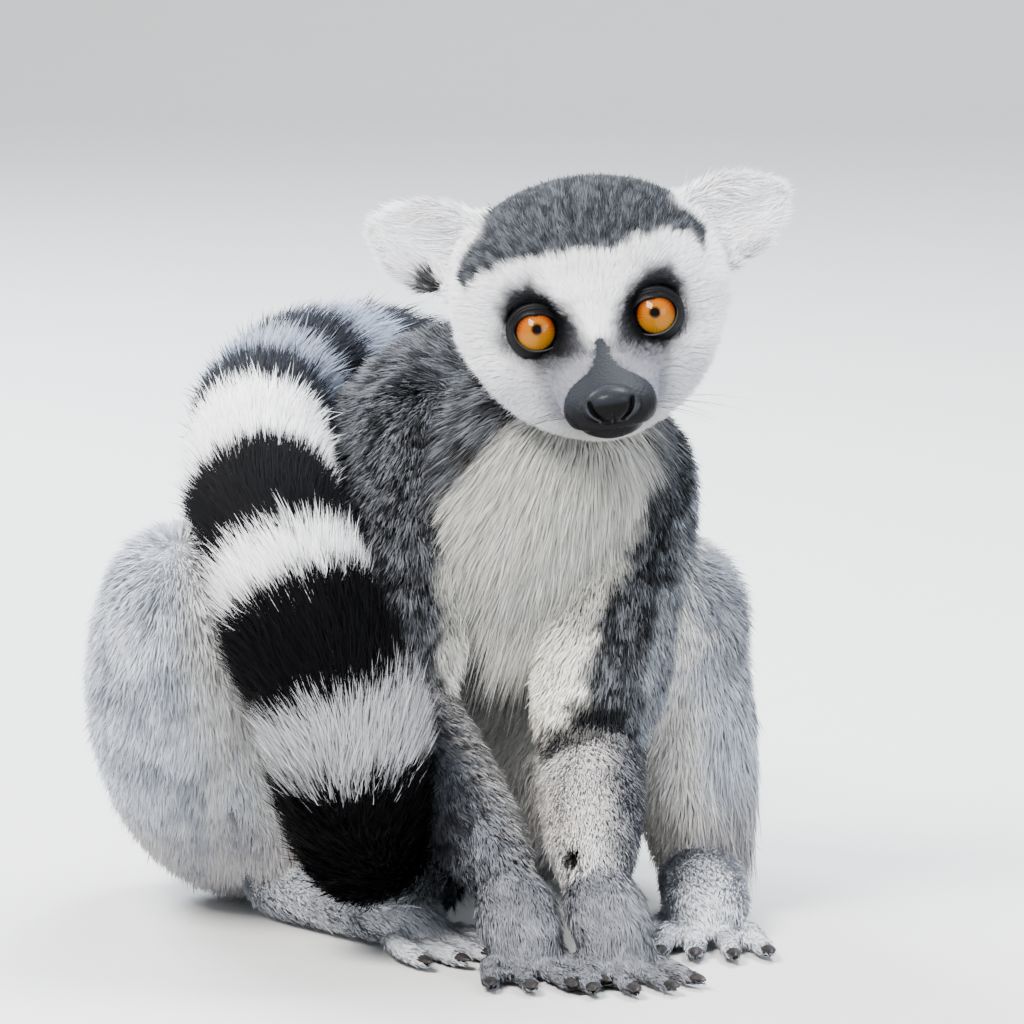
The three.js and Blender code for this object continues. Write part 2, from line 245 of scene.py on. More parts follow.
def tube(name, points, widths, depths, depth, hair, up=(0, 0, 1), power=7, rings=26, nodes=None):
    """One form's skin: elliptic rings along a curve, lying inside the coat by its depth, with ends rounded as
    the square root of 1 less a power of the share from the middle."""
    fine = curve(points, np.linspace(0, 1, 200))
    length = np.linalg.norm(np.diff(fine, axis=0), axis=1).sum()
    share = (1 - np.cos(np.pi * np.linspace(0, 1, rings))) / 2
    depth = along(depth, share) if np.ndim(depth) else np.full(rings, float(depth))
    t = depth[0] / length + share * (1 - (depth[0] + depth[-1]) / length)
    path = curve(points, t)
    opened = np.sqrt(np.maximum(0.0009, 1 - np.abs(2 * share - 1) ** power))
    width = (along(widths, t) - depth) * opened
    height = (along(depths, t) - depth) * opened
    angles = np.linspace(0, 2 * np.pi, 28, endpoint=False)
    grid, forward, side, rise = sweep(
        path, up, width[:, None] * np.cos(angles), height[:, None] * np.sin(angles))
    arc = np.concatenate([[0], np.cumsum(np.linalg.norm(np.diff(path, axis=0), axis=1))])
    return {
        "name": name, "nodes": nodes or [name], "grid": grid, "path": path, "forward": forward, "side": side,
        "rise": rise, "width": width, "height": height, "share": t, "arc": arc, "hair": hair, "depth": depth,
    }


def bowed(start, end, over, bow=(0, 0, 0)):
    """Three points on a slightly bowed line that runs past both of its ends."""
    way = unit(end - start)
    return [start - way * over[0], (start + end) / 2 + bow, end + way * over[1]]


def digit_forms(word, kind, root, end, inner, shape):
    """The digits of a hand or foot: the first stands apart, the others fan out and end on their pads."""
    forward = unit((end - root) * FLAT)
    across = np.array([-forward[1], forward[0], 0]) * inner
    radius = shape["radius"]
    radii = [radius * 1.02, radius * 0.98, radius * 0.9]
    forms = []
    for k, length in enumerate(shape["lengths"]):
        side, back, turn = shape["side"], shape["back"], shape["turn"]
        if k:
            side, back, turn = (2.5 - k) * radius * 2.12, 0, (2.5 - k) * shape["fan"]
        c, s = math.cos(turn * inner), math.sin(turn * inner)
        way = np.array([forward[0] * c - forward[1] * s, forward[0] * s + forward[1] * c, 0])
        base = end + across * side - forward * back
        heights = ((-3, radius + 2.6), (length * 0.5, radius - 0.2), (length, radius - 1))
        points = [(base + way * reach) * FLAT + [0, 0, height] for reach, height in heights]
        forms.append(tube(f"{kind}_{word}_{k + 1}", points, radii, radii, 0.45, 4.4, power=4, rings=14))
    return forms


def head_form():
    """The skull and muzzle: egg-shaped rings with full cheeks, hollowed round the eyes, inside the coat."""
    t = np.linspace(0, 1, 84)
    a, half, top, bottom = (along(HEAD_SECTIONS[:, k], t) for k in range(4))
    closed = np.sqrt(np.maximum(0.01, 1 - np.clip((t - 0.93) / 0.07, 0, 1) ** 2.2))
    closed *= np.sqrt(np.maximum(0.02, 1 - np.clip((0.05 - t) / 0.05, 0, 1) ** 2))
    middle = (top + bottom) / 2
    angles = np.linspace(0, 2 * np.pi, 96, endpoint=False)
    c, s = np.cos(angles), np.sin(angles)
    thin = mix(4.3, 1.5, step(-8, 6, a))
    thin = mix(thin, 0.5, step(14, 24, a))[:, None]
    spread = half[:, None] * (1 + 0.12 * s) - thin
    rise = ((top - bottom) / 2)[:, None] - thin
    x = spread * c * closed[:, None]
    z = middle[:, None] + rise * s * closed[:, None]
    y = np.broadcast_to(-a[:, None], x.shape).copy()
    off = np.hypot(np.abs(x) - EYE_AT[0] - 0.4, z)
    front = y < 6
    y += np.where(front, 7.0 * hill((off, 9.5)), 0)
    y += np.where(front, 10 * step(9.6, 6.8, off), 0)
    path = from_head(np.stack([0 * a, -a, middle], axis=1))
    forward, side, up = (np.broadcast_to(HEAD @ np.array(way), path.shape)
                         for way in ([0.0, -1, 0], [1.0, 0, 0], [0.0, 0, 1]))
    return {
        "name": "head", "nodes": ["head"], "grid": from_head(np.stack([x, y, z], axis=-1))[::-1],
        "path": path, "forward": forward, "side": side, "rise": up,
        "width": np.maximum((half - thin[:, 0]) * closed, 3),
        "height": np.maximum(((top - bottom) / 2 - thin[:, 0]) * closed, 3), "share": t, "arc": a - a[0],
        "hair": 7.0, "depth": thin[:, 0],
    }


def ear_form(word, side):
    """A cupped ear: a crescent carried from the skull to the rounded tip."""
    base, tip = (np.array(p, float) for p in EARS[word])
    t = np.linspace(0, 1, 30)
    angles = np.linspace(0, 2 * np.pi, 40, endpoint=False)
    c, s = np.cos(angles), np.sin(angles)
    reach = base + (tip - base) * (t * 0.93)[:, None]
    narrow = np.sqrt(np.maximum(0.02, 1 - t**5))
    width = (along([1, 1.04, 1, 0.88, 0.72], t) * (EAR["width"] - 1.8) * narrow)[:, None]
    thick = ((EAR["thick"] - 1.3) * np.sqrt(np.maximum(0.03, 1 - t**8)))[:, None]
    across = thick * s - side * EAR["cup"] * c * c * (1 - 0.4 * t[:, None])
    grid, forward, side_way, rise = sweep(reach, (0, 0, 1), across, -width * c)
    return {
        "name": f"ear_{word}", "nodes": [f"ear_{word}"], "grid": from_head(grid), "path": from_head(reach),
        "forward": forward @ HEAD.T, "side": side_way @ HEAD.T, "rise": rise @ HEAD.T,
        "width": thick[:, 0] + 6, "height": width[:, 0], "share": t, "arc": t * np.linalg.norm(tip - base),
        "hair": 9.0, "depth": np.full(30, 2.0),
    }


def body_forms():
    """Every form of the flesh. hair is the length of its coat."""
    forms = [
        head_form(),
        tube("trunk", SPINE, TRUNK_DEPTHS, TRUNK_WIDTHS, 7, 8.2, ACROSS_TRUNK, power=6, rings=40,
             nodes=["rump", "belly", "chest"]),
        tube("neck", NECK, [32, 38, 30], [34, 39, 31], 7, 8.2, ACROSS_TRUNK),
        tube("tail", TAIL_PATH, TAIL_RADII, TAIL_RADII, [5, 7, 9.5, 11, 11, 11, 10.5, 9], 17, TAIL_UP,
             power=40, rings=120, nodes=[f"tail_{k + 1}" for k in range(7)]),
    ]
    for word, side in SIDES:
        j = {key: np.array(value, float) for key, value in JOINTS[word].items()}
        wrist, palm, ankle, ball = j["wrist"], j["palm"], j["ankle"], j["ball"]
        hand = [wrist * 1.15 - palm * 0.15, wrist * 0.4 + palm * 0.6,
                (palm * 1.3 - wrist * 0.3) * FLAT + [0, 0, 6.2]]
        sole = [(ankle * 1.3 - ball * 0.3) * FLAT + [0, 0, 10], (ankle + ball) / 2 * FLAT + [0, 0, 13],
                ball * 1.1 - ankle * 0.1]
        forms.append(ear_form(word, side))
        for part, line, widths, depths, depth, hair, how in (
            ("upper_arm", bowed(j["shoulder"], j["elbow"], (24, 14)), [22, 24, 19], [25, 26, 18], 5.5, 6.5,
             {"up": (0, -1, 0)}),
            ("forearm", bowed(j["elbow"], wrist, (12, 8)), [17, 17, 12.5], [18, 17, 11.5], 4, 5.4, {}),
            ("thigh", bowed(j["hip"], j["knee"], (30, 20), (0, 0, -7)), [41, 39, 22], [44, 43, 25], 6.5, 8.0,
             {"rings": 34}),
            ("shin", bowed(j["knee"], ankle, (8, 14)), [17, 21, 17], [17, 21, 17], 4.5, 6.2,
             {"up": (1, 0, 0)}),
            ("hand", hand, [11.5, 13, 11.5], [10.5, 10, 7], 2.2, 6.5, {"power": 5}),
            ("foot", sole, [12, 13.5, 14], [12, 13, 8], 2.4, 5.5, {"power": 5}),
        ):
            forms.append(tube(f"{part}_{word}", line, widths, depths, depth, hair, **how))
        forms += digit_forms(word, "finger", wrist, palm, -side, FINGERS)
        forms += digit_forms(word, "toe", ankle, ball, -side, TOES)
    return forms


FORMS = body_forms()
NAMES = [form["name"] for form in FORMS]


def is_form(ids, *words):
    """Which form numbers belong to forms whose names start with one of the words."""
    table = np.array([any(name.startswith(word) for word in words) for name in NAMES])
    return table[ids]


# ---- Mesh helpers ----------------------------------------------------------------------------------------
def show(name, data):
    """An object in the scene for some data, in place of an earlier one of that name."""
    if name in bpy.data.objects:
        bpy.data.objects.remove(bpy.data.objects[name], do_unlink=True)
    made = bpy.data.objects.new(name, data)
    bpy.context.scene.collection.objects.link(made)
    return made


def new_object(name, points, faces):
    """A smooth mesh object from an array of points in millimetres and an array of faces."""
    mesh = bpy.data.meshes.new(name)
    points = np.ascontiguousarray(points, np.float32) * MM
    faces = np.asarray(faces, np.int32)
    count, corners = faces.shape
    mesh.vertices.add(len(points))
    mesh.vertices.foreach_set("co", points.ravel().astype(np.float32))
    mesh.loops.add(count * corners)
    mesh.loops.foreach_set("vertex_index", faces.ravel())
    mesh.polygons.add(count)
    mesh.polygons.foreach_set("loop_start", np.arange(0, count * corners, corners, dtype=np.int32))
    mesh.polygons.foreach_set("use_smooth", np.full(count, True))
    mesh.update(calc_edges=True)
    return show(name, mesh)


def grid_faces(rows, columns, closed=True):
    """Quads between the neighbours of a grid whose columns close on themselves if asked."""
    i, j = np.meshgrid(np.arange(rows - 1), np.arange(columns if closed else columns - 1), indexing="ij")
    a = i * columns + j
    b = i * columns + (j + 1) % columns
    return np.stack([a, b, b + columns, a + columns], axis=-1).reshape(-1, 4)


class Blocks:
    """Points and faces gathered block by block for one mesh."""

    def __init__(self):
        self.parts, self.sheets, self.count = [], [], 0

    def add(self, points, *sheets):
        """Takes a block of points with its faces, numbered from the block's own first point."""
        self.parts.append(points.reshape(-1, 3))
        self.sheets += [sheet + self.count for sheet in sheets]
        self.count += len(self.parts[-1])

    def points(self):
        """All the points."""
        return np.vstack(self.parts)

    def faces(self):
        """All the faces, numbered through."""
        return np.vstack(self.sheets)


def set_colours(made, name, colours):
    """A colour for each point, kept as an attribute."""
    colours = np.clip(np.asarray(colours, np.float32), 0, 1)
    layer = made.data.color_attributes.new(name, "FLOAT_COLOR", "POINT")
    layer.data.foreach_set("color", np.column_stack([colours, np.ones(len(colours), np.float32)]).ravel())


def read(items, key, width, kind=np.float32):
    """One attribute of a mesh's points, edges or triangles: a row of numbers for each."""
    values = np.empty(len(items) * width, kind)
    items.foreach_get(key, values)
    return values.reshape(-1, width)


def points_of(mesh):
    """The mesh's points in millimetres."""
    return read(mesh.vertices, "co", 3).astype(float) / MM


def finish_piece(made, slot, material, nodes=()):
    """Gives a piece its material and its body, and hides the nodes that it stands for. The slot is not used.
    """
    made.data.materials.append(material)
    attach(made, "root")
    if nodes:
        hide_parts(*nodes)


# ---- Materials -------------------------------------------------------------------------------------------
def painted(name, roughness, grain, strength, coat=0.0, variation=0.12, specular=0.5, attribute="paint"):
    """A finish whose colour is a painted attribute, varied by fine noise, with a bump whose grain is given in
    metres."""
    material = bpy.data.materials.new(name)
    material.use_nodes = True
    nodes, links = material.node_tree.nodes, material.node_tree.links

    def add(kind, **values):
        node = nodes.new(f"ShaderNode{kind}")
        for key, value in values.items():
            node.inputs[key.replace("_", " ")].default_value = value
        return node

    shader = nodes["Principled BSDF"]
    for key, value in (("Roughness", roughness), ("Specular IOR Level", specular), ("Coat Weight", coat),
                       ("Coat Roughness", 0.03)):
        shader.inputs[key].default_value = value
    paint = add("Attribute")
    paint.attribute_name = attribute
    place = add("TexCoord")
    specks = add("TexNoise", Scale=1 / grain, Detail=3)
    shade = add("MapRange", To_Min=1 - variation, To_Max=1 + variation)
    vary = add("Mix", Factor=1)
    vary.data_type = "RGBA"
    vary.blend_type = "MULTIPLY"
    bump = add("Bump", Strength=strength, Distance=grain * 0.5)
    for source, output, target, key in (
        (place, "Object", specks, "Vector"), (specks, "Fac", shade, "Value"), (paint, "Color", vary, "A"),
        (shade, "Result", vary, "B"), (vary, "Result", shader, "Base Color"), (specks, "Fac", bump, "Height"),
        (bump, "Normal", shader, "Normal"),
    ):
        links.new(source.outputs[output], target.inputs[key])
    return material


# ---- Skin ------------------------------------------------------------------------------------------------
BATCH = 2000  # points that look for their nearest ring at one time
ALL_ROUNDS, BROAD_ROUNDS = 6, 18  # of smoothing: over the whole skin, then off the face, ears, hands and feet
FLOW_ROUNDS, LENGTH_ROUNDS = 17, 8  # of smoothing: the lie of the coat, and its length and depth
FACE_BOX = np.array([[-30, -60, -33], [30, 3, 18]])  # where quads are cut once more, in the head's frame


def nearest_form(points):
    """The ring that each point belongs to and its form: the ring whose own ellipse, stretched to a ball as
    long as it is wide, it lies nearest to, measured from that ball's surface."""
    width = np.maximum(ROWS["width"], ROWS["widest"] * 0.35)
    height = np.maximum(ROWS["height"], ROWS["highest"] * 0.35)
    size = np.sqrt(width * height)
    ring = np.zeros(len(points), int)
    scale = {"forward": size, "side": width, "rise": height}
    axes = {key: (ROWS[key] / scale[key][:, None]).T.astype(np.float32) for key in scale}
    starts = {key: ((ROWS["path"] * ROWS[key]).sum(1) / scale[key]).astype(np.float32) for key in scale}
    size = size.astype(np.float32)
    for first in range(0, len(points), BATCH):
        part = points[first:first + BATCH].astype(np.float32)
        total = 0
        for key in scale:
            away = part @ axes[key]
            away -= starts[key]
            away *= away
            total = total + away
        ring[first:first + BATCH] = (np.abs(np.sqrt(total) - 1) * size).argmin(axis=1)
    return ring, OWNER[ring]


def neighbours(mesh):
    """The two ends of every edge."""
    return read(mesh.edges, "vertices", 2, np.int32)


def smoothed(values, ends, rounds, amount=0.5):
    """Values moved towards the mean of their neighbours, several times over."""
    values = np.array(values, float)
    flat = values.reshape(len(values), -1)
    degree = np.bincount(ends.ravel(), minlength=len(flat)).astype(float)
    for _ in range(rounds):
        total = np.stack([
            np.bincount(ends[:, 0], flat[ends[:, 1], k], len(flat)) +
            np.bincount(ends[:, 1], flat[ends[:, 0], k], len(flat)) for k in range(flat.shape[1])
        ], axis=1)
        share = amount if np.ndim(amount) == 0 else amount[:, None]
        flat = flat + share * (total / degree[:, None] - flat)
    return flat.reshape(values.shape)


def vertex_normals(mesh):
    """Unit normals of the points."""
    return read(mesh.vertex_normals, "vector", 3).astype(float)


def lip_line(y):
    """The height of the line between the lips at a place along the muzzle, in the head's frame."""
    return -25.6 + 0.13 * np.maximum(0, y + 42)


def face_shape(points):
    """Moves of the face's skin, in the head's frame: a brow over each eye, a furrow along the bridge's sides,
    fuller whisker pads, and the line of the mouth."""
    h = to_head(points)
    x, y, z = np.abs(h[:, 0]), h[:, 1], h[:, 2]
    front = step(8, -2, y)
    brow = 1.2 * hill((x - 17, 8), (z - 10.5, 3.4)) * front
    cheek = 0.9 * hill((x - 22, 7), (z + 10, 4.5)) * front
    pad = hill((x - 11, 5), (y + 35, 6.5), (z + 22, 5))
    mouth = -1.1 * hill((z - lip_line(y), 0.9)) * step(-14, -19, y)
    furrow = -0.7 * hill((x - 9, 2.2), (y + 26, 6), (z + 9, 3))
    return brow + cheek + pad + mouth + furrow


def make_skin(voxel):
    """One closed skin: the forms' tubes, each closed with a fan at both ends, joined by a voxel remesh."""
    blocks = Blocks()
    for form in FORMS:
        rows, columns = form["grid"].shape[:2]
        ring = np.arange(columns)
        after = (ring + 1) % columns
        last, first_cap = (rows - 1) * columns, np.full(columns, rows * columns)
        blocks.add(
            np.vstack([form["grid"].reshape(-1, 3), form["grid"][[0, -1]].mean(axis=1)]),
            grid_faces(rows, columns),
            np.stack([after, ring, first_cap, first_cap], 1),
            np.stack([last + ring, last + after, first_cap + 1, first_cap + 1], 1))
    mesh = bpy.data.meshes.new("forms")
    corner_lists = [row[:3] if row[2] == row[3] else row for row in blocks.faces().tolist()]
    mesh.from_pydata((blocks.points() * MM).tolist(), [], corner_lists)
    rough = show("forms", mesh)
    remesh = rough.modifiers.new("one skin", "REMESH")
    remesh.mode = "VOXEL"
    remesh.voxel_size = voxel
    bpy.context.view_layer.update()
    joined = bpy.data.meshes.new_from_object(rough.evaluated_get(bpy.context.evaluated_depsgraph_get()))
    bpy.data.objects.remove(rough)
    joined.name = "skin"
    return show("skin", joined)


def set_points(mesh, points):
    """Moves the mesh's points, given in millimetres."""
    mesh.vertices.foreach_set("co", (np.asarray(points) * MM).astype(np.float32).ravel())
    mesh.update()


def seat_eyes(points):
    """The skin round each globe: it lies a millimetre over the globe under the lids and falls behind it
    within their opening."""
    h = to_head(points)
    for side in (-1, 1):
        centre, gaze, outward, up = eye_frame(side)
        off = h - centre
        reach = np.linalg.norm(off, axis=1)
        x, z = off @ outward, off @ up
        beside = np.hypot(x, z)
        ahead = off @ gaze
        near = (reach < 13) & (ahead > -3)
        wanted = EYE["radius"] + mix(-2.6, 1.0, step(6.2, 7.8, beside))
        share = near * step(12.0, 9.4, beside)
        moved = centre + off / reach[:, None] * wanted[:, None]
        closer = (reach > wanted) | (beside < 9)
        h = np.where((closer & near)[:, None], h + (moved - h) * share[:, None], h)
    return from_head(h)


def refine_face(mesh):
    """Cuts the quads of the face once more, so that its features have points to stand on."""
    work = bmesh.new()
    work.from_mesh(mesh)
    h = to_head(points_of(mesh))
    face = ((h > FACE_BOX[0]) & (h < FACE_BOX[1])).all(axis=1)
    edges = [edge for edge in work.edges if face[edge.verts[0].index] and face[edge.verts[1].index]]
    bmesh.ops.subdivide_edges(work, edges=edges, cuts=1, use_grid_fill=True)
    work.to_mesh(mesh)
    work.free()


ROWS = {key: np.concatenate([form[key] for form in FORMS])
        for key in ("path", "forward", "side", "rise", "width", "height", "share", "arc")}
OWNER = np.concatenate([np.full(len(form["path"]), k) for k, form in enumerate(FORMS)])
for key, source in (("widest", "width"), ("highest", "height")):
    ROWS[key] = np.concatenate([np.full(len(form["path"]), form[source].max()) for form in FORMS])
RING_DEPTH = np.concatenate([np.broadcast_to(form["depth"], len(form["path"])) for form in FORMS])
HAIR = np.array([form["hair"] for form in FORMS])

# ---- Markings --------------------------------------------------------------------------------------------
# Millimetres from the tail's root where one ring gives way to the next, and the colour that ends there. Past
# 281 mm, over the back, the dark rings are soot and the light ones pale, in part painted sheen of the sky on
# the upturned hair.
RINGS = [
    # The grey ring that ends at 171 mm is white fur with painted shade.
    (60, PALE), (76, SOOT), (109, SILVER), (151, BLACK), (171, SHADED_WHITE), (200, BLACK), (213, WHITE), (244, INK),
    (281, WHITE), (306, SOOT), (326, PALE), (348, SOOT), (371, PALE), (394, SOOT), (418, PALE), (442, SOOT),
    (466, PALE), (490, SOOT), (514, PALE), (700, BLACK),
]
# The outline of a black eye patch and the lower edge of the grey cap: sideways and up, in the head's frame.
EYE_PATCH = np.array([
    [26.8, 9], [26.8, 2], [25.5, -1.5], [23.5, -5], [21.5, -7.5], [18, -10.2], [15.5, -9.3], [11.4, -7.6],
    [6.4, -6.2], [3.5, -5.2], [4.3, 1.0], [5.8, 5.0], [8.6, 8.2], [12.6, 12.4], [17, 15.2], [21.8, 15.4],
    [25, 13],
])
CAP_EDGE = np.array([
    [-46, 44], [-37, 34], [-34.5, 13], [-32.5, 16], [-28.2, 18.6], [-19, 21.4], [-7.5, 22], [4, 21.8],
    [16, 22.8], [23.5, 22.8], [30.5, 20.1], [33, 15.4], [35.5, 34], [45, 44],
])
# How far down the muzzle the bare skin reaches, and half its width there.
BARE_EDGE = np.array([
    [19.5, 0.9], [21, 2.2], [24, 2.7], [28, 3.5], [30.5, 4.9], [32, 8.5], [33.5, 14], [36, 30],
])
# The sides of the pale chest: the height, and how far across each edge lies there.
CHEST_RIGHT = np.array([[60, 23], [118, 26], [129, 28], [146, 38], [157, 46], [175, 50]])
CHEST_LEFT = np.array([[60, 66], [95, 71], [115, 79], [145, 85]])


def edge_at(edge, place):
    """An edge's second number at a place along its first."""
    return np.interp(place, edge[:, 0], edge[:, 1])


def outside(polygon, x, z):
    """How far points lie outside a closed polygon: the distance to its nearest side, negative within."""
    a, b = polygon, np.roll(polygon, -1, axis=0)
    p = np.stack([x, z], axis=1)[:, None]
    way = b - a
    share = np.clip(((p - a) * way).sum(2) / (way * way).sum(1), 0, 1)
    away = np.linalg.norm(p - a - share[..., None] * way, axis=2).min(axis=1)
    crosses = (a[:, 1] > p[..., 1]) != (b[:, 1] > p[..., 1])
    at = a[:, 0] + (p[..., 1] - a[:, 1]) * way[:, 0] / np.where(way[:, 1] == 0, 1e-9, way[:, 1])
    inside = (crosses & (p[..., 0] < at)).sum(axis=1) % 2 == 1
    return np.where(inside, -away, away)


def bare(h):
    """How bare the muzzle is: 1 on the black skin of the nose, lips and bridge, 0 in the fur."""
    x, y, z = np.abs(h[:, 0]), h[:, 1], h[:, 2]
    ragged = (noise(h, 1.1, 5) - 0.5) * 1.5
    top = step(0.7, -0.7, x - edge_at(BARE_EDGE, -y) + ragged) * step(-18.5, -20, y)
    chin = step(-19, -21.5, z) * step(-28.5, -30.5, y)
    mouth = step(1.9, 0.9, np.abs(z - lip_line(y))) * step(-15, -18, y)
    return np.maximum.reduce([top, chin, mouth])


def place_of(points, ring):
    """Where points stand on their forms: the arc length along it, and the angle and share of the radius."""
    off = points - ROWS["path"][ring]
    arc = ROWS["arc"][ring] + (off * ROWS["forward"][ring]).sum(1)
    s = (off * ROWS["side"][ring]).sum(1) / np.maximum(ROWS["width"][ring], 1)
    r = (off * ROWS["rise"][ring]).sum(1) / np.maximum(ROWS["height"][ring], 1)
    return arc, np.arctan2(r, s), off


def head_colours(points, ring, owner):
    """White face, cheeks and temples, a grey cap and nape, black eye patches and a black muzzle."""
    h = to_head(points)
    x, y, z = h[:, 0], h[:, 1], h[:, 2]
    ax = np.abs(x)
    wobble = (noise(points, 2.6, 3) - 0.5) * 2.0 + (noise(points, 0.9, 4) - 0.5) * 1.6
    beside_nose = step(-3, -9, z) * step(23, 13, ax) * step(-5, -14, y)
    cap = step(-0.8, 1.4, z - (edge_at(CAP_EDGE, x) - 5 * step(2, 14, y)) + wobble)
    temple = step(25, 28, ax + wobble) * step(8, 13, y) * step(34, 30, y) * step(34, 28, z)
    nape = step(28, 36, y + wobble * 2)
    crown = mix((0.022, 0.024, 0.028), (0.068, 0.074, 0.086), step(0.3, 0.8, noise(points, 1.2, 21)))
    away = outside(EYE_PATCH, ax, z) + wobble * 0.6
    ahead = step(8, 4, y)
    patch = mix(BLACK, (0.042, 0.043, 0.050), step(8.5, 13, np.hypot(ax - 17.6, z - 1)))
    naked = bare(h)
    colour = layered(
        WHITE,
        ((0.62, 0.63, 0.67), noise(points, 7, 11) * 0.6),
        # Painted shade: the white fur is greyed low on the face, towards the chin and throat.
        ((0.44, 0.45, 0.49), step(-6, -16, z) * 0.7),
        (WHITE, step(14, 8, ax) * step(-8, -3, z)),
        ((0.115, 0.115, 0.145), beside_nose * 0.85),
        ((0.30, 0.29, 0.27), step(-24, -30, z) * 0.8),
        (crown, np.maximum(cap * (1 - temple), nape)),
        ((0.085, 0.085, 0.10), step(5.5, 0, away) * step(3, -4, z) * ahead * 0.6),
        (patch, step(2.4, -2.2, away) * ahead),
        # The bare bridge is painted lighter and bluer than the black leather below it: painted sheen on its
        # upper face.
        (mix(LEATHER, BARE_SKIN_AND_SHEEN, step(-21, -15, z) * step(-46, -38, y)), naked))
    return colour, naked


def facing(points, ring):
    """How far forward on the trunk a point faces: 1 at the breastbone, -1 at the backbone."""
    off = points - ROWS["path"][ring]
    return (off @ CHEST_WAY) / np.maximum(ROWS["width"][ring], 5)


def agouti(points):
    """Grey fur with light and dark tips: fine grains over broader drifts."""
    grain = noise(points, 1.3, 31) * 0.65 + noise(points, 4.0, 32) * 0.35
    return mix((0.010, 0.0105, 0.012), (0.115, 0.121, 0.136), step(0.3, 0.78, grain))


def body_colours(points, ring, owner):
    """Agouti back and shoulders round a cream chest, whose edges run down from the sides of the throat."""
    mid = noise(points, 4.0, 34)
    x, y, z = points[:, 0], points[:, 1], points[:, 2]
    ragged = x + (mid - 0.5) * 7
    past_left = ragged - edge_at(CHEST_LEFT, z)
    ahead = (x - 52) * CHEST_WAY[0] + (y + 58) * CHEST_WAY[1]
    forward = facing(points, ring)
    upper_arm, left_arm = is_form(owner, "upper_arm"), is_form(owner, "upper_arm_left")
    front = np.where(z < 108, step(0.0, 0.35, forward), step(-2, 6, ahead))
    within = step(-2, 3, ragged - edge_at(CHEST_RIGHT, z)) * step(3, -2, past_left)
    within = within * np.where(upper_arm, step(-2, 6, ahead), front)
    within = within * (1 - step(60, 68, x) * step(-57, -48, y) * step(105, 115, z))
    # Partly painted light: the cream is darkened high on the chest, as shade under the chin, and made much
    # lighter low on the belly, as painted light against the shade between the arms.
    chest = mix(mix((0.47, 0.468, 0.45), (0.33, 0.325, 0.29), mid), (0.84, 0.82, 0.77), step(100, 82, z))
    dark = agouti(points)
    throat = hill((x - 36, 12), (z - 146, 11)) * step(0, 0.4, forward)
    dark = mix(dark, dark * 0.22, np.clip(throat * 1.3, 0, 1))
    dark = mix(dark, mix(SILVER, PALE, mid), left_arm * step(12.5, 17, past_left) * 0.9)
    # Painted shade in the fold of the left elbow.
    elbow_shade = left_arm * elbow_crease_shade(points)
    return mix(mix(dark, INK, elbow_shade), mix(chest, INK, elbow_shade), within), 0


def elbow_crease_shade(points):
    """Painted shade in the fold of the left elbow: a ragged oval of black blotches."""
    x, y, z = points.T
    oval = ((x - 67) / 11) ** 2 + ((z - 64 - (x - 67) * 0.4) / 7.5) ** 2 + (noise(points, 4, 91) - 0.5) * 2.4
    return step(1.2, 0.5, oval) * step(-74, -82, y) * 0.85


# Black spots on the forearms: across and up, and half of each width.
ARM_SPOTS = (((66, 31), (1.7, 3.0)), ((59.5, 18), (3.0, 1.8)))


def forearm_colours(points, ring, owner):
    """Forearms: the right one grey, the left one pale on its inner side, both painted dark inside the elbow
    as shade in its fold.
    """
    arc, _, off = place_of(points, ring)
    fine, mid = noise(points, 1.5, 31), noise(points, 4.0, 32)
    right = is_form(owner, "forearm_right")
    speckled = mix((0.035, 0.037, 0.043), (0.19, 0.20, 0.225), step(0.25, 0.8, fine * 0.6 + mid * 0.4))
    plain = mix((0.11, 0.113, 0.124), (0.25, 0.26, 0.285), fine * 0.5 + mid * 0.5)
    speckled = np.where(right[:, None], speckled, plain)
    inner = np.where(right, step(4, 10, off[:, 0]) * 0.5, step(9, -1, off[:, 0]))
    colour = mix(speckled, mix((0.74, 0.71, 0.68), (0.56, 0.55, 0.56), mid), inner)
    # Painted shade inside each elbow.
    elbow_shade = np.where(right, step(22, 8, arc + (mid - 0.5) * 8) * 0.6, elbow_crease_shade(points))
    colour = mix(colour, agouti(points) * 0.4, elbow_shade)
    for place, size in ARM_SPOTS:
        spot = np.hypot((points[:, 0] - place[0]) / size[0], (points[:, 2] - place[1]) / size[1])
        colour = mix(colour, BLACK, step(1.2, 0.7, spot) * (points[:, 1] < -90))
    return colour, 0


def leg_colours(points, ring, owner):
    """Pale blue-grey thighs and shins with a few dark streaks, sandy low down and agouti at the rump."""
    off = place_of(points, ring)[2]
    mid, broad = noise(points, 3.5, 32), noise(points, 16.0, 33)
    left = ~is_form(owner, "thigh_right", "shin_right")
    inward = -off[:, 0] * np.where(left, 1.0, -1.0)
    grey = mix((0.25, 0.27, 0.31), (0.50, 0.53, 0.59), step(0.25, 0.75, broad * 0.5 + mid * 0.5))
    streak = step(0.76, 0.84, noise(points * [1, 1, 0.45], 3.4, 35)) * step(0.45, 0.6, noise(points, 22, 36))
    grey = mix(grey, GREY, streak * 0.8) * np.where(left, 0.80, 0.96)[:, None]
    inner = step(0, 0.55, inward / 26 + np.where(left, 0.35, 0.15)) * step(-5, -25, points[:, 1])
    low = step(46, 22, points[:, 2]) * step(0.2, 0.8, mid + 0.2)
    seat = step(0, 8, inward) * step(5, 20, points[:, 1])
    return layered(
        grey,
        ((0.70, 0.68, 0.65), inner * np.where(left, 0.95, 0.7)),
        (SAND, low * 0.45),
        (agouti(points), seat)), 0


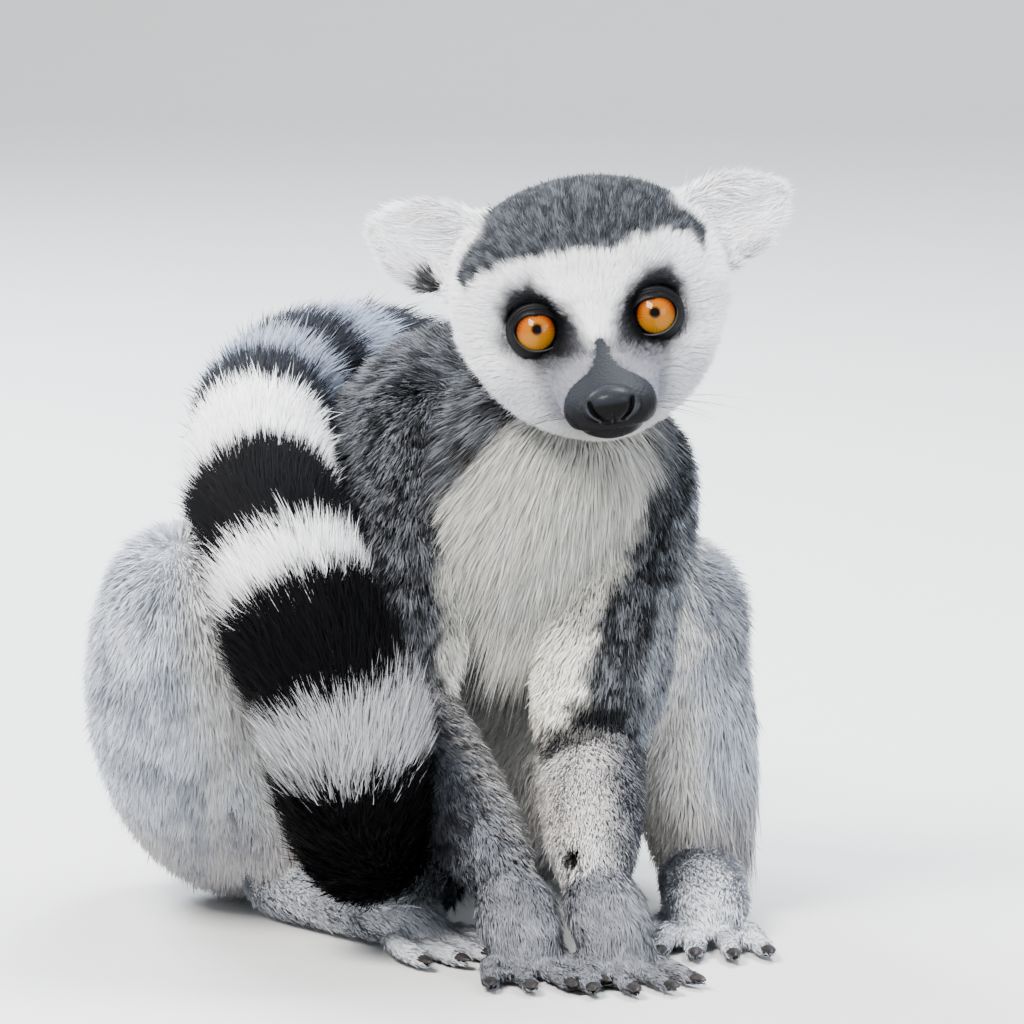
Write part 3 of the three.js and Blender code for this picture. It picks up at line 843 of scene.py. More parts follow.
def paw_colours(points, ring, owner):
    """White feet with grey spots, grey hands, and black leather on the soles, palms and digits' ends."""
    fine, mid = noise(points, 1.5, 31), noise(points, 4.0, 32)
    spots = step(0.58, 0.72, noise(points, 5.5, 37))
    foot = mix(mix((0.72, 0.73, 0.77), PALE, mid * 0.8), GREY, spots * 0.28)
    hand = mix((0.07, 0.073, 0.083), (0.26, 0.27, 0.30), fine)
    colour = np.where(is_form(owner, "foot", "toe")[:, None], foot, hand)
    end = is_form(owner, "finger", "toe") * step(0.74, 0.88, ROWS["share"][ring])
    naked = np.maximum(end, step(2.6, 1.2, points[:, 2]))
    return mix(colour, LEATHER, naked), naked


def tail_colours(points, ring, owner):
    """Rings of black and white that reach ragged edges into each other; over the back they are painted softer
    and bluer, as painted sheen of the sky on the upturned hair.
    """
    arc, _, _ = place_of(points, ring)
    place = arc + (noise(points, 3.2, 41) - 0.5) * 4 + (noise(points, 0.5, 42) - 0.5) * 8
    ring_colours = np.array([c for _, c in RINGS])
    which = np.clip(np.searchsorted([end for end, _ in RINGS], place), 0, len(RINGS) - 1)
    banded = ring_colours[which] * (0.84 + 0.3 * noise(points, 2.0, 43))[:, None]
    # Painted sheen: past about 280 mm the rings are lifted and tinted blue.
    return mix(banded, banded * [0.80, 0.86, 0.98] + 0.006, step(270, 300, arc)), 0


def ear_colours(points, ring, owner):
    """White ears, with the pink-grey skin showing faintly in the cup and a dark streak at the root."""
    _, _, off = place_of(points, ring)
    share = ROWS["share"][ring]
    furry = mix(WHITE, (0.66, 0.68, 0.73), noise(points, 4.0, 32) * 0.6)
    cup = step(0.1, 0.9, -(off @ HEAD)[:, 1] / 6) * step(0.2, 0.4, share) * step(0.95, 0.7, share)
    furry = mix(furry, (0.40, 0.33, 0.34), cup * 0.4)
    h = to_head(points)
    over = (h[:, 0] + 47) * 0.76 + (h[:, 2] - 15.2) * 0.65 + (noise(points, 1.5, 38) - 0.5) * 1.2
    run = (h[:, 0] + 46) * 0.65 - (h[:, 2] - 15.2) * 0.76
    streak = step(1.9, 1.0, np.abs(over)) * step(8, 5, np.abs(run))
    return mix(furry, INK, streak * 0.95), 0


# Which forms each function colours. Each gives the colour and how bare the skin is.
PAINTERS = (
    (("head",), head_colours), (("trunk", "neck", "upper_arm"), body_colours),
    (("forearm",), forearm_colours), (("thigh", "shin"), leg_colours),
    (("hand", "foot", "finger", "toe"), paw_colours), (("tail",), tail_colours), (("ear",), ear_colours),
)


def coat_colours(points, ring, owner):
    """The coat's colour at points of the skin, and how bare the skin is there."""
    colour, naked = np.zeros((len(points), 3)), np.zeros(len(points))
    for words, painter in PAINTERS:
        chosen = is_form(owner, *words)
        if chosen.any():
            colour[chosen], naked[chosen] = painter(points[chosen], ring[chosen], owner[chosen])
    return np.clip(colour, 0, 1), naked


# ---- Eyes ------------------------------------------------------------------------------------------------
def eye_frame(side):
    """The centre of a globe and its gaze, outer and upper directions, in the head's frame."""
    centre = np.array([side * EYE["apart"] / 2, -EYE["forward"], EYE["raised"]])
    gaze = unit(np.array([side * 0.05, -1.0, 0.07]))
    outward = unit(np.cross([0, 0, 1.0], gaze)) * side
    up = np.cross(outward, gaze) * side
    return centre, gaze, outward * np.sign(outward[0] * side), up * np.sign(up[2])


def make_eye(word, side, iris):
    """One globe: a sphere turned about its gaze, with the cornea's low bulge over the iris. The iris is
    painted in fine rays round a small pupil, with a dark rim, on the same closed surface."""
    centre, gaze, outward, up = eye_frame(side)
    polar = np.concatenate([np.linspace(0, 0.72, 60), np.linspace(0.74, math.pi, 40)])
    turn = np.linspace(0, 2 * np.pi, 144, endpoint=False)
    radius = EYE["radius"] + 0.7 * np.exp(-((polar / 0.5) ** 2) * 1.4)
    flat = radius * np.sin(polar)
    a, b = flat[:, None] * np.cos(turn), flat[:, None] * np.sin(turn)
    c = np.broadcast_to((radius * np.cos(polar))[:, None], a.shape)
    grid = centre + a[..., None] * outward + b[..., None] * up + c[..., None] * gaze
    faces = grid_faces(len(polar), len(turn))
    if np.dot(np.cross(outward, up), gaze) > 0:
        faces = faces[:, ::-1]
    made = new_object(f"globe_{word}", from_head(grid.reshape(-1, 3)), faces)
    a, b, front = a.ravel(), b.ravel(), c.ravel() > 0
    from_middle = np.hypot(a, b)
    pupil = np.hypot(a - PUPIL_AT[0], b - PUPIL_AT[1])
    angle = np.arctan2(b, a)
    rays = 0.5 + 0.25 * np.sin(angle * 37 + 2 * np.sin(angle * 5))
    rays = rays + 0.25 * np.sin(angle * 83 + from_middle * 2.1)
    fibres = 0.66 + 0.68 * rays * step(1.0, 3.4, pupil)
    iris = np.array(iris)
    # The lower iris is painted lighter and yellower than the upper: painted light below, with the upper part
    # left darker as shade under the upper lid.
    colour = layered(
        iris * [1.0, 1.5, 1.6],
        (iris, step(1.8, 3.6, pupil)),
        (iris * [0.4, 0.26, 0.3], step(3.6, 5.4, from_middle)),
        (iris * [1.1, 2.3, 3.0], step(1.5, -3.5, b) * 0.55))
    colour = mix(iris * [0.35, 0.22, 0.3], colour, step(1.3, 2.1, pupil)) * fibres[:, None]
    colour = layered(
        colour,
        ((0.0006, 0.0006, 0.0008), step(1.5, 1.15, pupil)),
        ((0.002, 0.0016, 0.0016), step(5.1, 5.7, from_middle)))
    set_colours(made, "iris", np.where(front[:, None], colour, (0.003, 0.002, 0.002)))
    return made


# Where the lids open, as the angle from the nasal side and the reach from the pupil.
LID_OPENING = np.array([
    [-180, 6.7], [-135, 6.3], [-90, 6.1], [-50, 6.9], [-25, 9.2], [0, 6.6], [20, 5.7], [45, 4.6], [90, 3.7],
    [135, 5.0], [180, 6.7],
])


def make_lids():
    """Both eyes' lids. Each is a rim and a fold carried round the opening over the globe: the height above
    the globe rises over the rim, dips in the crease and sinks into the skin at its outer edge."""
    blocks, colours = Blocks(), []
    rows, columns, outer = 22, 120, 9.8
    for _, side in SIDES:
        centre, gaze, outward, up = eye_frame(side)
        turn = np.linspace(-np.pi, np.pi, columns, endpoint=False)
        c, s = np.cos(turn), np.sin(turn)
        nasal = np.degrees(np.arctan2(s, -c))
        opening = np.interp(nasal, LID_OPENING[:, 0], LID_OPENING[:, 1], period=360)
        kernel = np.exp(-np.linspace(-2, 2, 7) ** 2)
        opening = np.concatenate([opening[-3:], opening, opening[:3]])
        opening = np.convolve(opening, kernel / kernel.sum(), "valid")
        out = np.linspace(0, 1, rows)[:, None] ** 1.25
        x = (PUPIL_AT[0] + opening * c) * (1 - out) + outer * c * out
        z = (PUPIL_AT[1] + opening * s) * (1 - out) + outer * s * out
        away = np.hypot(x, z)
        upper = step(-0.2, 0.5, s)
        lift = 0.05 + 0.6 * step(0, 0.12, out) - 0.45 * hill((out - 0.45, 0.08)) * upper
        lift = lift + 0.4 * hill((out - 0.66, 0.14)) * upper - 2.6 * step(0.62, 1, out)
        shell = EYE["radius"] + 0.3 + lift
        reach = np.where(away < shell * 0.985, away, shell * 0.985)
        depth = np.sqrt(np.maximum(shell**2 - reach**2, 0.3)) - 2.4 * step(8.0, outer, away)
        p = centre + x[..., None] * outward + z[..., None] * up + depth[..., None] * gaze
        sheet = grid_faces(rows, columns)
        blocks.add(from_head(p.reshape(-1, 3)), sheet if side > 0 else sheet[:, ::-1])
        # The lower rim is painted a lighter pink-grey: partly the moist rim's own colour and partly painted
        # sheen.
        wet = hill((out - 0.05, 0.035)) * step(0.35, -0.2, s)
        colours.append(layered(
            np.array(BLACK),
            ((0.006, 0.0062, 0.007), step(0.2, 0.5, out * np.ones(columns))),
            ((0.05, 0.046, 0.046), wet * 0.6)).reshape(-1, 3))
    made = new_object("eyelids", blocks.points(), blocks.faces())
    set_colours(made, "paint", np.vstack(colours))
    return made


# ---- Nose, nails and whiskers ----------------------------------------------------------------------------
def make_nose():
    """The bare nose: a low pad turned about its own axis, pressed in along each comma-shaped nostril and down
    the groove between them."""
    rows, columns = 90, 120
    t = np.linspace(0, 1, rows)
    path = curve([[0, -33.5, -16.0], [0, -41.6, -18.0], [0, -45.6, -20.6]], t)
    angles = np.linspace(0, 2 * np.pi, columns, endpoint=False)
    opened = np.sqrt(np.maximum(0.0009, 1 - np.abs(2 * t - 1) ** 3))
    width = (along([6.6, 8.4, 7], t) * opened)[:, None] * np.cos(angles)
    height = (along([4.4, 6.2, 5.2], t) * opened)[:, None] * np.sin(angles)
    p = sweep(path, (0, 0, 1), width, height)[0].reshape(-1, 3)
    x, z = np.abs(p[:, 0]), p[:, 2]
    front = step(-34, -38, p[:, 1])
    slit = 6.1 - 3.3 * np.clip((-15.4 - z) / 6.0, 0, 1) ** 3
    comma = hill((x - slit, 0.75)) * step(-14.8, -16.2, z) * step(-22.6, -21.2, z) * front
    groove = hill((x, 0.4)) * step(-18.5, -20, z) * front
    wing = hill((x - slit - 1.5, 0.9)) * step(-15, -17, z) * step(-23, -21, z) * front
    p = p + np.array([0, 1.0, 0]) * (1.9 * comma + 0.45 * groove - 0.35 * wing)[:, None]
    made = new_object("nose_leather", from_head(p), grid_faces(rows, columns)[:, ::-1])
    set_colours(made, "paint", layered(
        # The nose's top keeps the lighter, blue-grey bare colour: painted sheen.
        np.array(BARE_SKIN_AND_SHEEN),
        (LEATHER, np.maximum(step(-15.2, -17.4, z) * step(7.0, 5.6, x), step(-18, -22, z))),
        ((0.0015, 0.0015, 0.0018), np.maximum(comma, step(-16.2, -17.4, z) * step(slit, slit - 1, x))),
        # Painted highlight: a pale blue-grey line along the outer rim of each nostril.
        ((0.045, 0.046, 0.052), 0.6 * hill((x - slit - 1.1, 0.35)) * step(-16, -18, z) * front)))
    return made


def make_nails():
    """All the nails: narrow shields bent over each digit's end, each a patch of an ellipsoid with a drawn
    tip."""
    blocks = Blocks()
    u, v = np.meshgrid(np.linspace(-1, 1, 9), np.linspace(0, 1, 11), indexing="ij")
    rows, columns = u.shape
    count, radius, upward = rows * columns, 2.5, np.array([0, 0, 1.0])
    rim = np.concatenate([
        np.arange(columns), np.arange(1, rows) * columns + columns - 1,
        (rows - 1) * columns + np.arange(columns - 2, -1, -1), np.arange(rows - 2, 0, -1) * columns])
    after = np.roll(rim, -1)
    sheet = grid_faces(rows, columns, closed=False)
    for form in FORMS:
        if not form["name"].startswith(("finger", "toe")):
            continue
        end, way = form["path"][-1], unit(form["forward"][-3] * FLAT)
        across = np.array([-way[1], way[0], 0])
        grooming = form["name"].startswith("toe") and form["name"].endswith("_2")
        claw = 1.5 if grooming else 1.0
        bend = u * 1.05 * (1 - 0.45 * v**2)
        reach = -3.6 + 5.4 * v * claw * (1 - 0.18 * u * u)
        side = np.sin(bend) * radius * (1 - 0.35 * v**3)
        rise = np.cos(bend) * radius * 0.92 - 1.3 * v**2 * claw + 0.1
        top = end + reach[..., None] * way + side[..., None] * across + rise[..., None] * upward
        under = top - np.array([0, 0, 0.45]) * (1 - 0.3 * v)[..., None] - 0.1 * way
        blocks.add(np.vstack([top.reshape(-1, 3), under.reshape(-1, 3)]),
                   sheet[:, ::-1], sheet + count, np.stack([rim, after, after + count, rim + count], 1))
    points = blocks.points()
    made = new_object("nails", points, blocks.faces())
    set_colours(made, "paint", mix((0.035, 0.031, 0.03), (0.010, 0.009, 0.010), noise(points, 1.2, 61)))
    return made


def make_whiskers():
    """Whiskers from the pads and brows: hairs swept along drooping arcs, thinning to their tips."""
    rng = np.random.default_rng(11)
    blocks = Blocks()
    rings, on_pad, on_brow = 12, 10, 3
    t = np.linspace(0, 1, rings)[:, None]
    radius = 0.10 * (1 - 0.85 * t)[..., None]
    angles = np.arange(4) * np.pi / 2
    caps = np.array([[0, 3, 2, 1], [44, 45, 46, 47]])
    for side in (-1, 1):
        for k in range(on_pad + on_brow):
            if k < on_pad:
                root = np.array([side * (9.0 + 0.5 * (k % 3)), -33.0 + 2.0 * (k % 5), -19.2 - 2.0 * (k // 5)])
                way = unit(np.array([side * 1.0, 0.15 + 0.25 * rng.random(), -0.25 + 0.4 * rng.random()]))
                length, bend = 20 + 14 * rng.random(), 5.0
            else:
                k -= on_pad
                root = np.array([side * (12 + 3 * k), -6.5 + k, 14.5])
                way, length, bend = unit(np.array([side * 0.5, -0.45, 0.8])), 11.0, 2.0
            line = root + way * length * t + np.array([0, 0.4, -1.0]) * bend * t**2
            across = unit(np.cross(way, [0, 0, 1.0]))
            over = np.cross(across, way)
            ring = np.cos(angles)[None, :, None] * across + np.sin(angles)[None, :, None] * over
            blocks.add(from_head((line[:, None] + ring * radius).reshape(-1, 3)), grid_faces(rings, 4), caps)
    made = new_object("whiskers", blocks.points(), blocks.faces())
    set_colours(made, "paint", np.tile((0.05, 0.05, 0.055), (len(made.data.vertices), 1)))
    return made


# ---- Coat ------------------------------------------------------------------------------------------------
READ_AHEAD = 0.8  # a hair's colour is read this share of its reach ahead of the root
GUARD_SHARE = 0.08  # of the tufts, which stand longer and higher than the rest
LONG_HAIR = 19  # millimetres, past which hair hangs by all that it has over


def lie_of_coat(points, normals, ring, owner, ends):
    """The way the hairs point along the skin: down the limbs and tail, down the trunk, back from the nose
    over the head, blended where the forms meet and laid flat to the skin."""
    flow = ROWS["forward"][ring].copy()
    flow[is_form(owner, "thigh")] = unit(np.array([-0.15, 0.25, -1.0]))
    flow[is_form(owner, "trunk", "neck")] *= -1
    head = is_form(owner, "head")
    h = to_head(points)
    away = unit(h - [0, -48, -18]) + np.array([0, 0.25, -0.25]) * step(14, 26, np.abs(h[:, 0]))[:, None]
    flow[head] = (away @ HEAD.T)[head]
    flow = unit(flow - (flow * normals).sum(1)[:, None] * normals)
    flow = smoothed(flow, ends, FLOW_ROUNDS)
    return unit(flow - (flow * normals).sum(1)[:, None] * normals)


def along_skin(length, up, least):
    """How far hairs of a length reach along the skin when they rise by up: at least a share of the length."""
    return np.sqrt(np.maximum(length**2 - up**2, (least * length) ** 2))


def coat_lengths(points, ring, owner, ends):
    """The hair's length and the depth of the coat over the skin, in millimetres."""
    length = HAIR[owner].astype(float)
    depth = RING_DEPTH[ring].astype(float)
    h = to_head(points)
    x, y, z = np.abs(h[:, 0]), h[:, 1], h[:, 2]
    face = mix(2.2, 4.9, step(-16, 4, y))
    face = face + 5.5 * step(20, 30, x) * step(8, -4, z) * step(-6, 4, y) + 3 * step(30, 36, y)
    eye = np.linalg.norm(np.stack([x - EYE_AT[0], y - EYE_AT[1], z], 1), axis=1)
    face = np.where(y < 6, mix(1.5, face, step(9.5, 17, eye)), face)
    length = np.where(is_form(owner, "head"), face, length)
    front = is_form(owner, "trunk", "neck") * step(0.0, 0.4, facing(points, ring))
    length = length + (7.5 + 18 * step(114, 94, points[:, 2]) * step(50, 72, points[:, 2])) * front
    left_leg = is_form(owner, "thigh_left", "shin_left")
    fringe = left_leg * step(82, 40, points[:, 2]) * step(98, 110, points[:, 0])
    length = length + 15 * fringe
    amount = np.where(is_form(owner, "head", "finger", "toe", "ear"), 0.2, 0.5)
    return smoothed(length, ends, LENGTH_ROUNDS, amount), smoothed(depth, ends, LENGTH_ROUNDS, amount)


def bake_places(owner, arc, angle):
    """Where a root lies on the unwrapped skin: every form has its own oblong, with the angle across and the
    arc length up, and the large forms have larger oblongs."""
    corner = np.zeros((len(FORMS), 4))
    big = {"head": (0, 0.5, 0.34, 0.5), "trunk": (0.34, 0.5, 0.33, 0.5), "tail": (0.67, 0.5, 0.33, 0.5)}
    small = 0
    for k, name in enumerate(NAMES):
        if name in big:
            corner[k] = big[name]
        else:
            corner[k] = (small % 7 / 7, small // 7 * 0.1, 1 / 7, 0.1)
            small += 1
    spans = np.array([max(form["arc"][-1], 1) for form in FORMS])
    u = np.clip((angle / (2 * np.pi)) % 1, 0, 1)
    v = np.clip(arc / spans[owner], 0, 1)
    place = corner[owner]
    margin = 0.003
    return np.stack([
        place[:, 0] + margin + u * (place[:, 2] - 2 * margin),
        place[:, 1] + margin + v * (place[:, 3] - 2 * margin),
    ], axis=1)


class Skin:
    """The finished skin and what the coat reads from it."""

    def __init__(self, made):
        mesh = made.data
        self.points = points_of(mesh)
        self.normals = vertex_normals(mesh)
        self.ring, self.owner = nearest_form(self.points)
        ends = neighbours(mesh)
        self.flow = lie_of_coat(self.points, self.normals, self.ring, self.owner, ends)
        self.length, self.depth = coat_lengths(self.points, self.ring, self.owner, ends)
        self.naked = coat_colours(self.points, self.ring, self.owner)[1]
        mesh.calc_loop_triangles()
        self.triangles = read(mesh.loop_triangles, "vertices", 3, np.int32)
        a, b, c = (self.points[self.triangles[:, k]] for k in range(3))
        self.areas = np.linalg.norm(np.cross(b - a, c - a), axis=1) / 2


def strands(skin, weight, count, rng):
    """Roots spread over the skin in step with a weight: triangles are taken at even steps of the running
    total of area times weight, and each root stands at random within its triangle."""
    total = np.cumsum(skin.areas * weight)
    places = (np.arange(count) + rng.random(count)) / count * total[-1]
    pick = np.searchsorted(total, places).clip(0, len(total) - 1)
    a, b = rng.random(count), rng.random(count)
    flip = a + b > 1
    a, b = np.where(flip, 1 - a, a), np.where(flip, 1 - b, b)
    shares = np.stack([1 - a - b, a, b], axis=1)
    corners = skin.triangles[pick]
    nearest = corners[np.arange(count), shares.argmax(axis=1)]

    def blend(values):
        values = values[corners]
        return (values * shares[..., None]).sum(1) if values.ndim == 3 else (values * shares).sum(1)

    return blend, nearest


def grow(name, skin, weight, count, look, seed):
    """One coat piece. Each tuft is a flat blade from its root to a point: its middle has risen by two thirds
    of the coat's depth and its tip by all of it, while both move on along the lie of the coat. Tips of one
    lock are drawn together, and every tuft is turned a little about its own length."""
    rng = np.random.default_rng(seed)
    count = int(count * (1))
    blend, nearest = strands(skin, weight, count, rng)
    root, normal = blend(skin.points), unit(blend(skin.normals))
    flow = unit(blend(skin.flow))
    length, depth = blend(skin.length), blend(skin.depth)
    ring, owner = skin.ring[nearest], skin.owner[nearest]
    arc, angle, _ = place_of(root, ring)
    reach = along_skin(length, depth, 0.25)
    colour, naked = coat_colours(root + flow * (reach * READ_AHEAD)[:, None], ring, owner)
    naked = np.minimum(naked, blend(skin.naked))
    keep = naked < rng.uniform(0.25, 0.75, count)
    across = np.cross(flow, normal)
    wander = noise_vectors(root, look["lock"] * 2.2, 71)[:, 0] * look["stray"]
    wander = wander + rng.normal(0, look["stray"] * 0.45, count)
    flow = flow * np.cos(wander)[:, None] + across * np.sin(wander)[:, None]
    across = np.cross(flow, normal)
    length = length * look["length"] * rng.uniform(0.72, 1.12, count)
    rise = depth * look["rise"] * rng.uniform(0.55, 1.12, count)
    guard = rng.random(count) < GUARD_SHARE
    length, rise = np.where(guard, length * 1.2, length), np.where(guard, rise * 1.35, rise)
    rise = np.minimum(rise, length * 0.92)
    reach = along_skin(length, rise, 0.3)
    droop = np.array([0, 0, -1.0]) * (look["droop"] * length + np.maximum(0, length - LONG_HAIR))[:, None]
    cell = look["lock"]
    warped = root + noise_vectors(root, cell * 1.4, 81) * cell * 0.6
    key = np.floor(warped / cell).astype(np.int64) @ np.array([73856093, 19349663, 83492791])
    _, group = np.unique(key, return_inverse=True)
    size = np.bincount(group).astype(float)
    tip = root + flow * reach[:, None] + normal * rise[:, None] + droop
    lock_tip = np.stack([np.bincount(group, tip[:, k]) / size for k in range(3)], axis=1)[group]
    pull = look["pull"] * rng.uniform(0.5, 1.2, count)[:, None]
    tip = tip + (lock_tip - tip) * pull
    middle = root + flow * (reach * 0.46)[:, None] + normal * (rise * 0.68)[:, None] + droop * 0.25
    middle = middle + (lock_tip - tip) * pull * 0.3
    twist = rng.uniform(-0.9, 0.9, count)[:, None]
    flat = across * np.cos(twist) + normal * np.sin(twist)
    width = look["width"] * rng.uniform(0.75, 1.25, count)[:, None]
    base = root - normal * 0.35
    if look["bent"]:
        blades = np.stack([base, middle + flat * width / 2, middle - flat * width / 2, tip], axis=1)
        pattern = np.array([[0, 1, 2], [1, 3, 2]])
        shades = np.array([0.0, 0.75, 0.75, 1.0])
    else:
        blades = np.stack([base - flat * width / 2, base + flat * width / 2, tip], axis=1)
        pattern = np.array([[0, 1, 2]])
        shades = np.array([0.3, 0.3, 1.0])
    blades = blades[keep]
    count, corners = blades.shape[:2]
    blades[..., 2] = np.maximum(blades[..., 2], LOWEST_HAIR)
    face_way = np.cross(blades[:, 1] - blades[:, 0], blades[:, 2] - blades[:, 0])
    turned = (face_way * normal[keep]).sum(1) < 0
    faces = np.where(turned[:, None, None], pattern[:, ::-1], pattern)
    faces = (np.arange(count) * corners)[:, None, None] + faces
    made = new_object(name, blades.reshape(-1, 3), faces.reshape(-1, 3))
    # Painted shade and light along each tuft: the root is painted darker, as shade deep in the coat, and the
    # tip lighter, as light on the coat's surface.
    light = colour[keep].mean(axis=1)
    root_painted_shade = mix(0.42, 0.62, step(0.02, 0.5, light))[:, None]
    tip_painted_light = mix(1.25, 1.06, step(0.02, 0.3, light))[:, None]
    tone = colour[keep][:, None] * (root_painted_shade + (tip_painted_light - root_painted_shade) * shades)[..., None]
    spread = 0.17 + 0.40 * step(0.005, 0.02, light) * step(0.12, 0.07, light)
    tone = tone * (1 + rng.uniform(-1, 1, count) * spread)[:, None, None]
    set_colours(made, "paint", tone.reshape(-1, 3))
    face_way = unit(np.where(turned[:, None], -face_way, face_way))
    normals = unit(normal[keep] * look["shine"] + face_way * (1 - look["shine"]))
    normals = np.repeat(normals, corners, axis=0)
    made.data.normals_split_custom_set_from_vertices(normals.tolist())
    spot = bake_places(owner, arc, angle)[keep]
    patch = np.array([[-1, -1], [1, -1], [-1, 1], [1, 1]])[:corners] * 0.0014
    uv = (spot[:, None] + patch).reshape(-1, 2)
    layer = made.data.uv_layers.new(name="OFBake")
    layer.data.foreach_set("uv", uv[faces.reshape(-1)].astype(np.float32).ravel())
    return made


def coat_plan(skin):
    """The coat's pieces: name, slot, the points of the skin they grow on, the number of tufts, their look."""
    h = to_head(skin.points)
    front = facing(skin.points, skin.ring) > -0.05
    own = skin.owner
    head = is_form(own, "head")
    face = head & (h[:, 1] < 10) & (h[:, 2] < edge_at(CAP_EDGE, h[:, 0]) + 1)
    tail = is_form(own, "tail")
    early = ROWS["share"][skin.ring] < 0.5
    trunk = is_form(own, "trunk", "neck")
    short = {"length": 1, "rise": 0.9, "stray": 0.30, "droop": 0.0, "pull": 0.35, "lock": 1.8, "width": 0.25,
             "bent": False, "shine": 0.4}
    plush = {**short, "width": 0.33, "bent": True, "lock": 1.9, "pull": 0.22, "stray": 0.4, "rise": 1.0}
    shaggy = {**plush, "width": 0.34, "lock": 5.0, "pull": 0.36, "stray": 0.28, "droop": 0.07, "rise": 0.95}
    fluffy = {**shaggy, "lock": 4.0, "pull": 0.16, "width": 0.32, "droop": 0.02, "stray": 0.34}
    down = {**shaggy, "width": 0.36, "lock": 2.4, "droop": 0.02, "pull": 0.22, "stray": 0.38}
    small = {**plush, "width": 0.36, "lock": 2.6, "pull": 0.3, "stray": 0.4}
    plan = [
        ("coat_face", "face_fur", face, 150000, short),
        ("coat_crown", "face_fur", head & ~face, 78000, {**plush, "rise": 0.66, "width": 0.28, "pull": 0.1}),
        ("coat_ears", "ear_fur", is_form(own, "ear"), 42000,
         {**plush, "stray": 0.55, "width": 0.34, "rise": 1.2, "lock": 3.0}),
        ("coat_underside", "underside_fur", trunk & front, 92000, shaggy),
        ("coat_back", "back_fur", trunk & ~front, 58000, down),
    ]
    for limb, parts, counts in (
        ("arm", ("upper_arm", "forearm", "hand"), (54000, 54000)),
        ("leg", ("thigh", "shin"), (66000, 60000)),
    ):
        for (word, _), count in zip(SIDES, counts):
            where = is_form(own, *(f"{part}_{word}" for part in parts))
            plan.append((f"coat_{limb}_{word}", f"{limb}_fur", where, count, down))
    return plan + [
        ("coat_feet", "foot_fur", is_form(own, "foot", "toe", "finger"), 42000, small),
        ("coat_tail_low", "tail_fur", tail & early, 78000, fluffy),
        ("coat_tail_high", "tail_fur", tail & ~early, 52000, fluffy),
    ]


# ---- Settings --------------------------------------------------------------------------------------------
class LemurShape(bpy.types.PropertyGroup):
    """Sizes of the skin and the coat."""

    voxel: FloatProperty(name="Skin detail", description="Spacing of the skin's points", default=0.00185,
                         unit="LENGTH", min=0.001, max=0.005)
    fullness: FloatProperty(name="Coat fullness", description="Share of the tufts that are grown",
                            default=1.0, subtype="FACTOR", min=0.05, max=1.0)
    hair: FloatProperty(name="Hair length", description="Length of the hair against the coat's own",
                        default=1.0, subtype="FACTOR", min=0.3, max=1.5)
    seed: IntProperty(name="Seed", description="Another number gives another lay of the hair", default=7,
                      min=0)


class LemurColours(bpy.types.PropertyGroup):
    """Colours that a user may change."""

    iris: FloatVectorProperty(name="Iris", description="Colour of the iris", default=(0.26, 0.062, 0.001),
                              subtype="COLOR", min=0, max=1)
    floor: FloatVectorProperty(name="Floor", description="Colour of the floor", default=(0.60, 0.598, 0.59),
                               subtype="COLOR", min=0, max=1)


class LemurStage(bpy.types.PropertyGroup):
    """The camera and the light."""

    elevation: FloatProperty(name="Camera elevation", description="The camera's height as an angle",
                             default=math.radians(8), subtype="ANGLE")
    distance: FloatProperty(name="Camera distance", description="From the camera to the chest", default=2.5,
                            unit="LENGTH")
    lens: FloatProperty(name="Lens", description="The camera's focal length in millimetres", default=303.07)
    light: FloatProperty(name="Light", description="Strength of all the lamps", default=1.0, subtype="FACTOR",
                         min=0.1, max=4.0)


# ---- Operators -------------------------------------------------------------------------------------------
def made_piece(name):
    """A piece that an earlier operator made, or an error that says to make it first."""
    if name not in bpy.data.objects:
        raise RuntimeError(f"{name} is needed first")
    return bpy.data.objects[name]


FLESH = [name for form in FORMS for name in form["nodes"]]


class LEMUR_OT_skin(bpy.types.Operator):
    """One seamless skin over all the forms, with the folds of the face and the coat's markings."""

    bl_idname = "lemur.skin"
    bl_label = "Skin"

    def execute(self, context):
        skin = make_skin(context.scene.lemur_shape.voxel)
        mesh = skin.data
        refine_face(mesh)
        ends = neighbours(mesh)
        points = points_of(mesh)
        h = to_head(points)
        owner = nearest_form(points)[1]
        small = is_form(owner, "finger", "toe", "ear") | (is_form(owner, "head") & (h[:, 1] < -8))
        fine = small | is_form(owner, "hand", "foot")
        points = smoothed(points, ends, ALL_ROUNDS, np.where(small, 0.22, 0.5))
        points = smoothed(points, ends, BROAD_ROUNDS, np.where(fine, 0.0, 0.5))
        points[:, 2] = np.maximum(points[:, 2], LOWEST_SKIN)
        set_points(mesh, points)
        normals = vertex_normals(mesh)
        points = points + normals * (face_shape(points) * is_form(owner, "head"))[:, None]
        points = seat_eyes(points)
        set_points(mesh, points)
        ring, owner = nearest_form(points)
        flow = lie_of_coat(points, vertex_normals(mesh), ring, owner, ends)
        length, depth = coat_lengths(points, ring, owner, ends)
        naked = coat_colours(points, ring, owner)[1]
        reach = along_skin(length, depth, 0.25)
        ahead = flow * (reach * READ_AHEAD * (1 - naked))[:, None]
        colour, naked = coat_colours(points + ahead, ring, owner)
        # The skin under the fur is painted darker than its coat, as painted shade beneath the hair; bare skin
        # keeps its own colour.
        set_colours(skin, "paint", colour * mix(0.62, 1.0, naked)[:, None])
        mesh.polygons.foreach_set("use_smooth", np.full(len(mesh.polygons), True))
        finish_piece(skin, "digit", painted("skin", 0.5, 0.0009, 0.6, specular=0.08), FLESH)
        return {"FINISHED"}


